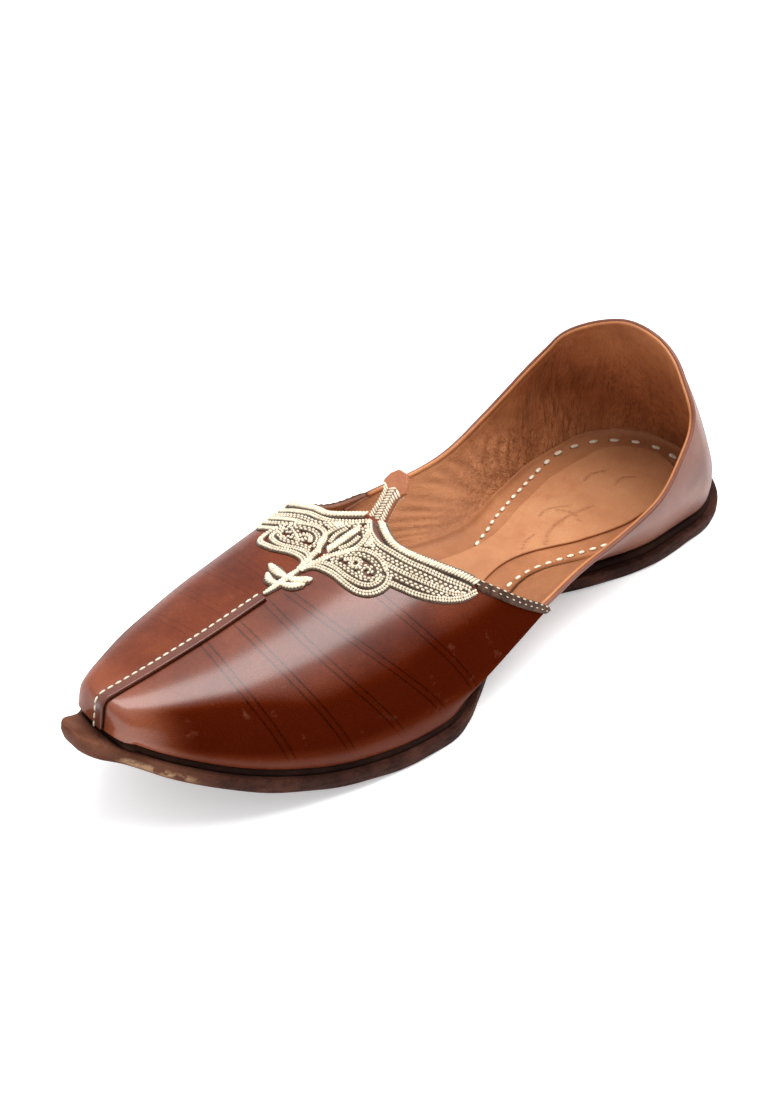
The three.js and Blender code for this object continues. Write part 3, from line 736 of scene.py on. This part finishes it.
outsole = layer("outsole_leather", sole_half, 0, SOLE_LENGTH,
                [(1.2, 0), (0.7, 0.25), (0.35, 0.8), (0.1, 1.8), (0.0, 2.9), (0.05, 4.0), (0.2, 4.8),
                 (0.5, 5.35), (0.9, OUTSOLE_THICKNESS)], 420, [SOLE_LEATHER], 0.3, worn_places)
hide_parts("outsole")
# The midsole strip is near-black, partly painted shade: it stands in for the shadow line between the upper and
# the sole
low = OUTSOLE_THICKNESS + GAP
midsole = layer("midsole_strip", lambda x: foot_half(x) + MIDSOLE_LEDGE * end_round(x),
                FOOT_START - MIDSOLE_LEDGE, FOOT_END + MIDSOLE_LEDGE,
                [(0.9, low - GAP), (0.75, low + 0.4), (0.9, low + 1.3), (1.4, low + MIDSOLE_THICKNESS + GAP)],
                420, [DARK_LEATHER_AND_SHADE])
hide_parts("midsole")

# The insole's margin, hollowed up against the wall
INSOLE_INSET = 2.2
MARGIN_LEVEL = FOOT_LOW + INSOLE_THICKNESS
insole = layer("insole_margin", foot_half, FOOT_START, FOOT_END,
               [(0.8, FOOT_LOW + 0.1), (0.0, FOOT_LOW + 0.6), (-0.2, MARGIN_LEVEL + 2.4),
                (0.2, MARGIN_LEVEL + 2.3), (0.7, MARGIN_LEVEL + 1.4), (1.5, MARGIN_LEVEL + 0.6),
                (2.6, MARGIN_LEVEL + 0.15), (4.0, MARGIN_LEVEL)], 420, [MARGIN], wall_inset=INSOLE_INSET)
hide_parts("insole")

# Marks pressed or worn into the sock, as lines of along and across in millimetres with a half width
SOCK_MARKS = [
    ([(60, 4), (72, 2), (84, 4), (92, 9)], 0.5),
    ([(72, -4), (69, 2), (71, 8)], 0.45),
    ([(66, -2), (74, -6), (80, -5)], 0.4),
    ([(40, -8), (45, -10), (50, -9)], 0.5),
    ([(34, 3), (38, 0), (44, 1)], 0.45),
    ([(90, 2), (96, 3), (101, 6)], 0.4),
]


def sock_marks(x, y):
    mark = np.zeros_like(x)
    for line, half in SOCK_MARKS:
        fine = through(line, 0.6)
        distance = np.min(np.hypot(x[:, None] - fine[:, 0], y[:, None] - fine[:, 1]), axis=1)
        mark = np.maximum(mark, 1 - smooth(distance / half / 2))
    return mark


SOCK_LOW = MARGIN_LEVEL + GAP
SOCK_COLUMNS = 300
SOCK_ACROSS = 60


def sock():
    outline = layer_outline(foot_half, FOOT_START, FOOT_END, SOCK_MARGIN, SOCK_COLUMNS)
    rings = []
    for inset, height in ((0.0, SOCK_LOW), (0.0, SOCK_LOW + 0.6), (0.3, SOCK_LOW + SOCK_THICKNESS)):
        x = mix(outline[:, 0], 150, inset / 110)
        y = outline[:, 1] - inset
        near = np.stack([x, y, level(x, height)], 1)
        rings.append(np.vstack([near, near[::-1] * [1, -1, 1]]))
    loop = len(rings[0])
    faces = ring_faces(len(rings), loop, flip=True)
    for i in range(loop // 2 - 1):
        faces.append([i, i + 1, loop - 2 - i, loop - 1 - i])
    points = list(np.vstack(rings))
    # The top is a grid, so that the marks can be drawn on it
    top = 2 * loop
    half = loop // 2
    grid = []
    for i in range(half):
        start, end = points[top + i], points[top + loop - 1 - i]
        row = [top + i]
        for k in range(1, SOCK_ACROSS):
            row.append(len(points))
            points.append(mix(start, end, k / SOCK_ACROSS))
        row.append(top + loop - 1 - i)
        grid.append(row)
    for i in range(half - 1):
        for k in range(SOCK_ACROSS):
            faces.append([grid[i][k], grid[i][k + 1], grid[i + 1][k + 1], grid[i + 1][k]])
    points = np.array(points)
    obj = make_object("sock_sheet", points, faces, [SOCK_LEATHER],
                      attributes={"mark": sock_marks(points[:, 0], points[:, 1])})
    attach(obj, "root")
    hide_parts("sock")


# Threads and rolls on a surface

def height_on_vamp(x, y):
    """The height of the vamp's outer surface over places seen from above."""
    out = np.abs(y)
    low = np.full(np.shape(x), 0.03)
    high = np.full(np.shape(x), np.pi / 2)
    for _ in range(34):
        middle = (low + high) / 2
        wider = upper_point(x, middle, 1)[..., 1] > out
        low = np.where(wider, middle, low)
        high = np.where(wider, high, middle)
    return upper_point(x, (low + high) / 2, 1)[..., 2]


def on_vamp(x, y):
    x = np.asarray(x, float)
    y = np.asarray(y, float)
    e = 0.15
    z = height_on_vamp(x, y)
    dx = (height_on_vamp(x + e, y) - height_on_vamp(x - e, y)) / (2 * e)
    dy = (height_on_vamp(x, y + e) - height_on_vamp(x, y - e)) / (2 * e)
    normal = np.stack([-dx, -dy, np.ones_like(z)], -1)
    normal /= np.linalg.norm(normal, axis=-1)[..., None]
    return np.stack([x, y, z], -1), normal


def through(points, spacing):
    """A smooth line through points, as evenly spaced points."""
    p = np.asarray(points, float)
    p = np.vstack([2 * p[0] - p[1], p, 2 * p[-1] - p[-2]])
    line = []
    for a, b, c, d in zip(p, p[1:], p[2:], p[3:]):
        for t in np.arange(16) / 16:
            line.append(0.5 * ((2 * b) + (c - a) * t + (2 * a - 5 * b + 4 * c - d) * t ** 2
                               + (3 * b - a - 3 * c + d) * t ** 3))
    line.append(p[-2])
    return evenly(np.array(line), spacing)


def evenly(line, spacing):
    far = np.concatenate([[0], np.cumsum(np.linalg.norm(np.diff(line, axis=0), axis=1))])
    count = max(int(round(far[-1] / spacing)), 1)
    want = np.linspace(0, far[-1], count + 1)
    return np.stack([np.interp(want, far, line[:, k]) for k in range(line.shape[1])], 1)


def directions(line):
    along = np.gradient(line, axis=0)
    return along / np.maximum(np.linalg.norm(along, axis=1), 1e-9)[:, None]


def bead_form(around=6, rings=3):
    """A ball of radius 1: points and faces."""
    points = [(-1.0, 0.0, 0.0)]
    for ring in range(1, rings + 1):
        angle = math.pi * ring / (rings + 1)
        for k in range(around):
            turn = 2 * math.pi * k / around
            out = math.sin(angle)
            points.append((-math.cos(angle), out * math.cos(turn), out * math.sin(turn)))
    points.append((1.0, 0.0, 0.0))
    faces = [[0, 1 + (k + 1) % around, 1 + k] for k in range(around)]
    for ring in range(rings - 1):
        for k in range(around):
            a = 1 + ring * around + k
            b = 1 + ring * around + (k + 1) % around
            faces.append([a, b, b + around, a + around])
    last = 1 + (rings - 1) * around
    faces += [[last + k, last + (k + 1) % around, last + around] for k in range(around)]
    return np.array(points), faces


class Pieces:
    """Collects many small closed forms into one mesh."""

    def __init__(self):
        self.points = []
        self.faces = []
        self.count = 0

    def add(self, points, faces):
        self.points.append(points)
        self.faces.extend([[v + self.count for v in face] for face in faces])
        self.count += len(points)

    def beads(self, centres, along, normal, size):
        """Longish beads. size is length, width and height, for all or one row each."""
        form, faces = bead_form()
        across = np.cross(normal, along)
        size = np.broadcast_to(np.asarray(size, float), (len(centres), 3)) / 2
        for c, u, v, w, (long, wide, high) in zip(centres, along, across, normal, size):
            self.add(c + form[:, :1] * u * long + form[:, 1:2] * v * wide + form[:, 2:] * w * high, faces)

    def tube(self, line, normal, wide, high, sides=8):
        """A rod of oval section along a line, its ends closed by fans."""
        along = directions(line)
        across = np.cross(normal, along)
        across /= np.linalg.norm(across, axis=1)[:, None]
        up = np.cross(along, across)
        wide = np.broadcast_to(wide, len(line))
        high = np.broadcast_to(high, len(line))
        rings = []
        for k in range(sides):
            turn = 2 * math.pi * k / sides
            shift = across * (wide * math.cos(turn))[:, None] + up * (high * math.sin(turn))[:, None]
            rings.append(line + shift)
        points = np.stack(rings, 1).reshape(-1, 3)
        faces = ring_faces(len(line), sides)
        last = (len(line) - 1) * sides
        points = np.vstack([points, line[0], line[-1]])
        faces += [[(k + 1) % sides, k, len(points) - 2] for k in range(sides)]
        faces += [[last + k, last + (k + 1) % sides, len(points) - 1] for k in range(sides)]
        self.add(points, faces)

    def build(self, name, material, replaced=None):
        obj = make_object(name, np.vstack(self.points), self.faces, [material])
        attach(obj, "root")
        if replaced:
            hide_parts(replaced)
        return obj


# Embroidery. Each line is a row of thread: its look, its width in millimetres, and places in thousandths
# of the sole's length and of the ball width. All but the last group are mirrored to the far side
STROKES = {
    "border": ("rope", 3.0, [(579, 28), (588, 75), (594, 130), (592, 180), (582, 243), (566, 305),
               (545, 366)]),
    "band_top": ("braid", 2.2, [(588, 0), (599, 40), (605.5, 96), (603.5, 154), (598, 216),
                 (588, 270), (575, 324), (557, 372)]),
    "band_low": ("dots", 2.1, [(599, 8), (609, 52), (614, 110), (612, 171), (605, 232), (594, 288),
                 (580, 340), (566, 368)]),
    "lobe_a": ("braid", 1.9, [(620, 172), (614, 224), (605, 272), (594, 316), (580, 356), (566, 376)]),
    "lobe_b": ("dots", 1.8, [(626, 196), (620.5, 240), (611.5, 286), (599, 328), (585, 362)]),
    "lobe_c": ("braid", 1.9, [(633, 232), (627, 264), (618, 302), (605, 336), (589, 362), (570, 380),
               (551, 384)]),
    "paisley_low": ("braid", 2.2, [(689, 0), (678, 22), (673, 60), (671, 102), (671, 153), (668, 195),
                    (660, 222), (648, 234), (636, 232), (627, 216)]),
    "paisley_second": ("braid", 1.9, [(677, 2), (667, 36), (664, 80), (663.5, 134), (660, 176),
                       (653, 202), (643, 210), (634, 204)]),
    "paisley_top": ("braid", 1.9, [(664, 22), (650, 32), (636, 50), (625, 80), (620, 118), (620, 158),
                    (625, 196)]),
    "spiral": ("dots", 1.8, [(656, 50), (646, 54), (635, 78), (628.5, 112), (628, 152), (632, 186),
               (641, 196), (649, 184), (651, 160), (645, 140), (637, 146), (637, 164), (642, 170)]),
    "paisley_inner": ("dots", 1.7, [(660, 46), (657, 76), (656, 112), (655, 142), (653, 168)]),
    "curl": ("braid", 1.7, [(648, 74), (640, 92), (638, 116), (646, 126), (650, 106), (645, 96)]),
    "almond": ("braid", 1.9, [(660, 14), (645, 44), (628, 60), (611, 52), (597, 30)]),
    "almond_low": ("braid", 1.5, [(618, 78), (606, 66)]),
    "stem": ("braid", 2.0, [(691, 5), (676, 12), (660, 20)]),
    "fill_low": ("dots", 1.6, [(612, 96), (611, 80), (606, 62)]),
}
EDGE_ROOM = 0.1
FAR_SHIFT_LIMIT = 14.0
MIDDLE_STROKES = {
    "almond_middle": ("rope", 3.4, [(650, 0), (634, 0), (618, 0), (604, 0)]),
    "almond_right": ("braid", 1.6, [(640, 24), (628, 34), (614, 30)]),
    "almond_left": ("braid", 1.6, [(640, -24), (628, -34), (614, -30)]),
    "finial_stem": ("leaf", 3.0, [(689, 0), (703, 0), (717, 0), (730, 0), (742, 0)]),
    "finial_right": ("leaf", 4.0, [(708, 8), (704, 34), (695, 62)]),
    "finial_right_low": ("leaf", 3.2, [(720, 6), (715, 36), (705, 62)]),
    "finial_left": ("leaf", 4.0, [(711, -8), (711, -44), (708, -86)]),
    "finial_left_low": ("leaf", 3.2, [(724, -4), (725, -32), (720, -60)]),
}


def edge_at(rows, y):
    """How far along the shoe the throat's edge is, a given width from the middle."""
    along, turn = throat_top(rows, np.linspace(0, 1, 300))
    edge = upper_point(along, turn, 1)
    return np.interp(np.abs(y), edge[::-1, 1], edge[::-1, 0])


def in_front(x, y):
    """Which places lie on the vamp, clear of the throat's edge."""
    return x > np.where(y >= 0, edge_at(NEAR_THROAT, y), edge_at(FAR_THROAT, y)) + EDGE_ROOM


def far_shift(y):
    """How much further forward the far side's ornament lies: as much as the throat's edge does."""
    return np.minimum(edge_at(FAR_THROAT, y) - edge_at(NEAR_THROAT, y), FAR_SHIFT_LIMIT)


def thread_row(thread, ground, look, width, line):
    """Stitches of one row, and the dark felt that shows round and between them."""
    line = line[in_front(line[:, 0], line[:, 1])]
    points, normal = on_vamp(line[:, 0], line[:, 1])
    along = directions(points)
    across = np.cross(normal, along)
    count = len(points)
    swell = np.ones(count)
    if look == "leaf":
        swell = 0.3 + 0.7 * np.sin(np.pi * (np.arange(count) + 0.7) / (count + 0.4))
    ground.tube(points + normal * 0.2, normal, width * swell / 2 + 0.4, 0.38)
    if look in ("rope", "leaf"):
        slant = along * 0.62 + across * 0.78
        sizes = np.column_stack([width * 1.12 * swell, np.full(count, 1.12), np.full(count, 1.25)])
        thread.beads(points + normal * 0.72, slant, normal, sizes)
    elif look == "braid":
        for side in (1, -1):
            slant = along * 0.8 + across * 0.6 * side
            shift = across * width * 0.23 * side
            thread.beads(points + normal * 0.6 + shift, slant, normal, (1.08, width * 0.47, 1.0))
    else:
        for side in (1, -1):
            shift = across * width * 0.25 * side
            pick = np.arange(0 if side > 0 else 1, count, 2)
            thread.beads(points[pick] + normal[pick] * 0.6 + shift[pick], along[pick], normal[pick],
                         (1.25, width * 0.5, 0.95))


def embroidery():
    thread = Pieces()
    ground = Pieces()
    for group, sides in ((STROKES, (1, -1)), (MIDDLE_STROKES, (1,))):
        for look, width, rows in group.values():
            line = np.array(rows, float) * [SOLE_LENGTH, BALL_WIDTH] / 1000
            line = through(line, {"rope": 0.98, "leaf": 0.9, "braid": 0.98, "dots": 0.82}[look])
            for side in sides:
                mirrored = line.copy()
                if side < 0:
                    mirrored[:, 0] += far_shift(line[:, 1])
                    mirrored[:, 1] *= -1
                thread_row(thread, ground, look, width, mirrored)
    thread.build("embroidery_thread", THREAD, "throat_embroidery")
    ground.build("embroidery_ground", FELT, "throat_embroidery")


embroidery()


# Toe seam: the line over the toe, its raised strip and its running stitches

def seam_path():
    x = np.linspace(SEAM_END * SOLE_LENGTH, FOOT_END, 160)
    top = upper_point(x, np.full(len(x), np.pi / 2), 1)
    turn = np.linspace(np.pi / 2, 0, 60)
    front = upper_point(np.full(len(turn), FOOT_END), turn, 1)
    line = evenly(np.vstack([top, front[1:]]) * [1, 0, 1], 0.5)
    kernel = np.ones(9) / 9
    padded = np.vstack([np.repeat(line[:1], 4, 0), line, np.repeat(line[-1:], 4, 0)])
    line = np.stack([np.convolve(padded[:, k], kernel, "valid") for k in range(3)], 1)
    line[:, 1] = -swing(line[:, 0])
    return line


def toe_seam():
    line = seam_path()
    along = directions(line)
    across = np.tile([0.0, 1.0, 0.0], (len(line), 1))
    up = np.cross(along, across)
    half = SEAM_WIDTH / 2
    # Offsets across and up: a soft far edge, a flat lap and a sharp near edge
    profile = [(-half, -0.5), (-half, 0.35), (-half * 0.8, 0.75), (-half * 0.4, 0.95), (half * 0.3, 1.15),
               (half * 0.8, 1.3), (half * 0.98, 1.15), (half, 0.9), (half, -0.5)]
    rings = [line + across * a + up * b for a, b in profile]
    sides = len(profile)
    points = np.stack(rings, 1).reshape(-1, 3)
    faces = ring_faces(len(line), sides, flip=True)
    last = (len(line) - 1) * sides
    faces.append(list(range(sides)))
    faces.append([last + k for k in range(sides)][::-1])
    seam = make_object("toe_seam_lap", points, faces, [SEAM_LEATHER])
    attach(seam, "root")
    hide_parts("toe_seam")
    thread = Pieces()
    at = evenly(line - across * half * 0.62 + up * 0.85, 1.5)
    frame_along = directions(at)
    frame_up = np.cross(frame_along, [0.0, 1.0, 0.0])
    thread.beads(at[1::2], frame_along[1::2], frame_up[1::2], (2.35, 0.85, 0.75))
    thread.build("toe_seam_stitches", THREAD)
    dark = Pieces()
    edge = line + across * (half + 0.12) + up * 0.05
    dark.tube(edge, up, 0.2, 0.22, 6)
    dark.build("toe_seam_shadow_line", DARK_LEATHER_AND_SHADE)


toe_seam()
sock()

# Stitches of the insole's margin: a line from the far side round the heel to the near side
MARGIN_STITCHES = [
    (124, -3), (118.7, -4.9), (112.5, -7.2), (106.4, -9.6), (100.3, -12), (94.4, -14.8), (87.3, -17.4),
    (78.8, -20.4), (70, -23), (62, -25.2), (53, -27.4), (44, -28.6), (35, -27.4), (26, -23.8),
    (19, -18), (14.2, -11), (12, -4), (12, 4), (14.2, 11), (19, 18), (26, 23.8), (35, 27.4), (44, 28.6),
    (53, 27.6), (62, 25.6), (74, 22.6), (86, 19.6), (98, 17.2), (108, 16), (118, 16.4), (128, 19),
]


def margin_stitches():
    thread = Pieces()
    holes = Pieces()
    line = through(MARGIN_STITCHES, 0.5)
    z = level(line[:, 0], MARGIN_LEVEL)
    depth = foot_half(line[:, 0]) - INSOLE_INSET - np.abs(line[:, 1])
    z = z + 2.2 * np.exp(-np.maximum(depth, 0) / 1.1) + 0.3
    points = np.column_stack([line, z])
    along = directions(points)
    up = np.tile([0.0, 0.0, 1.0], (len(points), 1))
    at = 0
    stitch = 0
    while at < len(points) - 1:
        x = points[at, 0]
        big = smooth((70 - x) / 30)
        stitch += 1
        wobble = 0.25 * math.sin(stitch * 2.3)
        size = (mix(3.1, 4.0, big) + wobble, mix(1.6, 2.3, big), 1.0)
        thread.beads(points[at:at + 1], along[at:at + 1], up[at:at + 1], size)
        end = points[at] - along[at] * (size[0] / 2 + 0.1) - [0, 0, 0.3]
        holes.beads(end[None], along[at:at + 1], up[at:at + 1], (0.8, 1.1, 0.4))
        at += int(round(mix(5.0, 8.6, big) / 0.5))
    thread.build("margin_stitches", THREAD)
    holes.build("margin_holes", EDGE)


margin_stitches()


# The strip over the rear edge of the vamp, with its stitches

def binding(side, rows, name):
    last = len(rows) - 1
    count = 60
    out = []
    bottoms = outline_places(vamp_start, FOOT_END, VAMP_COLUMNS * FINE)
    for share in np.linspace(0, 1, count + 1):
        t = share * (BINDING_REACH + 0.2) / last
        top, turn = throat_top(rows, t)
        bottom = np.interp(t * THROAT_COLUMNS * FINE, np.arange(len(bottoms)), bottoms)
        grid, _, _, far = column(bottom, float(top), float(turn), side, 200)
        grid = grid[::-1]
        reach = far[-1] - far[::-1]
        want = np.array([0, 0.3, 0.8, 1.3, 1.8, 2.3, 2.8, BINDING_WIDTH - 0.1, BINDING_WIDTH])
        want = np.minimum(want, far[-1])
        out.append(np.stack([np.interp(want, reach, grid[:, k]) for k in range(3)], 1))
    grid = np.array(out)
    points = grid.reshape(-1, 3)
    rows_count = grid.shape[1]
    faces = [list(f) for f in grid_faces(count + 1, rows_count, flip=side < 0)]
    rise = np.array([0.55, 0.85, 1.0, 1.05, 1.05, 1.0, 0.85, 0.6, 0.3])
    outer = np.tile(rise, count + 1)
    obj = shell(name, points, faces, outer, -0.15,
                [BINDING_LEATHER] * 3)
    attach(obj, "root")
    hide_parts("throat_binding_near" if side > 0 else "throat_binding_far")
    thread = Pieces()
    normal = vertex_normals(points, faces).reshape(grid.shape)
    for row, length in ((1, 1.7), (4, 1.4)):
        line = grid[:, row] + normal[:, row] * 0.98
        at = evenly(line, 1.6)
        near = [int(np.argmin(np.linalg.norm(line - q, axis=1))) for q in at]
        up = normal[near, row]
        thread.beads(at[1::2], directions(at)[1::2], up[1::2], (length, 0.5, 0.35))
    thread.build(name + "_stitches", PALE_THREAD)


binding(1, NEAR_THROAT, "binding_near")
binding(-1, FAR_THROAT, "binding_far")


# Collar: the folded edge of the outer leather with the lining's rolled edge inside it

def collar():
    limit = vamp_start + 3.0
    places = outline_places(FOOT_START, limit, 300)
    turn = turn_for_height(places, collar_height_at(places))
    top = upper_point(places, turn, 1)
    top[0, 1] = 0
    below = upper_point(places, turn * 0.98, 1)
    along = directions(top)
    along[0] = (0, 1, 0)
    outward = np.cross(along, below - top)
    outward /= np.linalg.norm(outward, axis=1)[:, None]
    up = np.cross(along, outward)
    for name, inward, rise, wide, high, material in (
            ("collar_piping_roll", VAMP_STEP + UPPER_WALL * 0.8, 0.45, 0.62, 0.85, PIPING_LEATHER),
            ("collar_outer_fold", VAMP_STEP + UPPER_WALL * 0.15, 0.5, 0.78, 0.95, QUARTER_LEATHER)):
        half = top - outward * inward + up * rise
        half[0, 1] = 0
        whole = np.vstack([half[:0:-1] * [1, -1, 1], half])
        flat = np.vstack([outward[:0:-1] * [1, -1, 1], outward])
        line = evenly(whole, 1.2)
        near = [int(np.argmin(np.linalg.norm(whole - q, axis=1))) for q in line]
        rod = Pieces()
        rod.tube(line, np.cross(directions(line), flat[near]), wide, high, 10)
        rod.build(name, material, "collar_piping")


collar()


# Throat tab: a stitched neck and a bare leather tip

def tab():
    neck = TAB_NECK_WIDTH / 2
    wide = TAB_TIP_WIDTH / 2
    end = TAB_NECK_LENGTH + TAB_TIP_LENGTH
    right = [(neck, -1.5), (neck * 0.88, 4), (neck * 0.92, TAB_NECK_LENGTH),
             (wide, TAB_NECK_LENGTH + TAB_TIP_LENGTH * 0.35),
             (wide * 0.8, TAB_NECK_LENGTH + TAB_TIP_LENGTH * 0.7), (wide * 0.35, end)]
    left = [(-a, b) for a, b in right[::-1]]
    outline = left[-1:] + right + left[:-1]
    lean = math.radians(TAB_LEAN)
    root = np.array([NEAR_THROAT[-1, 1] * SOLE_LENGTH - GAP - TAB_THICKNESS / 2, 0,
                     float(crown_at(NEAR_THROAT[-1, 1] * SOLE_LENGTH)) - UPPER_WALL / 2])
    up = np.array([-math.sin(lean), 0, math.cos(lean)])
    face = np.array([math.cos(lean), 0, math.sin(lean)])
    across = np.array([0.0, 1.0, 0.0])

    def at(a, b, c):
        return root + across * a + up * b + face * c

    rings = []
    centre = np.array([0.0, end * 0.55])
    deep = TAB_THICKNESS / 2
    for shrink, out in ((0.25, -deep), (0.0, -deep + 0.25), (0.0, deep - 0.3), (0.3, deep)):
        ring = []
        for a, b in outline:
            pull = centre - [a, b]
            pull = pull / np.linalg.norm(pull) * shrink
            ring.append(at(a + pull[0], b + pull[1], out))
        rings.append(ring)
    sides = len(outline)
    points = np.array(rings).reshape(-1, 3)
    faces = ring_faces(len(rings), sides)
    faces.append(list(range(sides))[::-1])
    faces.append([(len(rings) - 1) * sides + k for k in range(sides)])
    obj = make_object("tab_leather", points, faces, [TAB_LEATHER], smooth_faces=False)
    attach(obj, "root")
    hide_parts("throat_tab")
    thread = Pieces()
    for side in (-1, 1):
        for b in np.arange(-0.6, TAB_NECK_LENGTH + 2.6, 1.02):
            width = mix(neck, neck * 0.86, smooth((b + 1) / 6)) + 1.3 * smooth((b - TAB_NECK_LENGTH + 1) / 3)
            for k, part in enumerate((-0.68, 0.0, 0.68)):
                centre = at(part * width, b + 0.35 * (k % 2), side * (deep + 0.25))
                slant = across * 0.86 + up * 0.5 * (1 if k % 2 else -1)
                thread.beads(centre[None], slant[None] / np.linalg.norm(slant), (face * side)[None],
                             (width * 0.8, 0.92, 1.0))
    thread.build("tab_stitches", THREAD)


tab()


# Floor, light and camera

FLOOR_GLOW = 0.38
FLOOR_REACH = 6.0
BRIGHT_SIDE = (0.08, -0.42, 0.90)
SOFTBOX_PLACE = (-0.25, 0.12, 1.12)
SOFTBOX_TARGET = (0.02, 0, 0.02)
SOFTBOX_SIZE = (0.80, 1.15)
SOFTBOX_POWER = 17.0
# The photograph's viewpoint. The camera looks at the shoe's middle, with a lens that fills the frame with it
CAMERA_PLACE = (0.322109, 0.327004, 0.403545)
CAMERA_TARGET = (0.007, -0.010, 0.030)
CAMERA_LENS = 37.0
SENSOR_HEIGHT = 24.0


def stage():
    mesh = bpy.data.meshes.new("floor")
    corners = [(-1, -1), (1, -1), (1, 1), (-1, 1)]
    mesh.from_pydata([(a * FLOOR_REACH, b * FLOOR_REACH, 0) for a, b in corners], [], [(0, 1, 2, 3)])
    floor = bpy.data.objects.new("floor", mesh)
    bpy.context.scene.collection.objects.link(floor)
    n = Nodes("floor_paper")
    n.finish(n.ramp(n.noise(3.0), [(0.3, (0.86, 0.86, 0.865)), (0.7, (0.88, 0.88, 0.885))]), 0.85,
             Emission_Color=(1, 1, 1, 1), Emission_Strength=FLOOR_GLOW)
    mesh.materials.append(n.material)


def aim(obj, start, target):
    """Put an object at start, looking at target, with its top as high as it can be."""
    back = np.array(start) - target
    back /= np.linalg.norm(back)
    right = np.cross([0, 0, 1], back)
    right /= np.linalg.norm(right)
    up = np.cross(back, right)
    obj.location = start
    obj.rotation_euler = Matrix([[right[k], up[k], back[k]] for k in range(3)]).to_euler()
    bpy.context.scene.collection.objects.link(obj)


def softbox():
    light = bpy.data.lights.new("softbox", "AREA")
    light.shape = "RECTANGLE"
    light.size, light.size_y = SOFTBOX_SIZE
    light.energy = SOFTBOX_POWER
    aim(bpy.data.objects.new("softbox", light), SOFTBOX_PLACE, SOFTBOX_TARGET)


def studio_world():
    """Soft light that is brighter above and behind the shoe than on the camera's side."""
    world = bpy.data.worlds.new("studio")
    bpy.context.scene.world = world
    world.use_nodes = True
    tree = world.node_tree
    background = tree.nodes["Background"]
    background.inputs["Color"].default_value = (0.97, 0.985, 1.0, 1)
    coordinates = tree.nodes.new("ShaderNodeTexCoord")
    toward = tree.nodes.new("ShaderNodeVectorMath")
    toward.operation = "DOT_PRODUCT"
    toward.inputs[1].default_value = BRIGHT_SIDE
    tree.links.new(coordinates.outputs["Generated"], toward.inputs[0])
    strength = tree.nodes.new("ShaderNodeMapRange")
    strength.interpolation_type = "SMOOTHSTEP"
    for key, value in (("From Min", -0.1), ("From Max", 0.8), ("To Min", 0.22), ("To Max", 1.25)):
        strength.inputs[key].default_value = value
    tree.links.new(toward.outputs["Value"], strength.inputs["Value"])
    tree.links.new(strength.outputs["Result"], background.inputs["Strength"])


def camera():
    lens = bpy.data.cameras.new("camera")
    lens.sensor_fit = "VERTICAL"
    lens.sensor_height = SENSOR_HEIGHT
    lens.lens = CAMERA_LENS
    lens.clip_start = 0.01
    obj = bpy.data.objects.new("camera", lens)
    aim(obj, CAMERA_PLACE, CAMERA_TARGET)
    bpy.context.scene.camera = obj


stage()
studio_world()
softbox()
camera()
bpy.context.scene.view_settings.view_transform = "Standard"
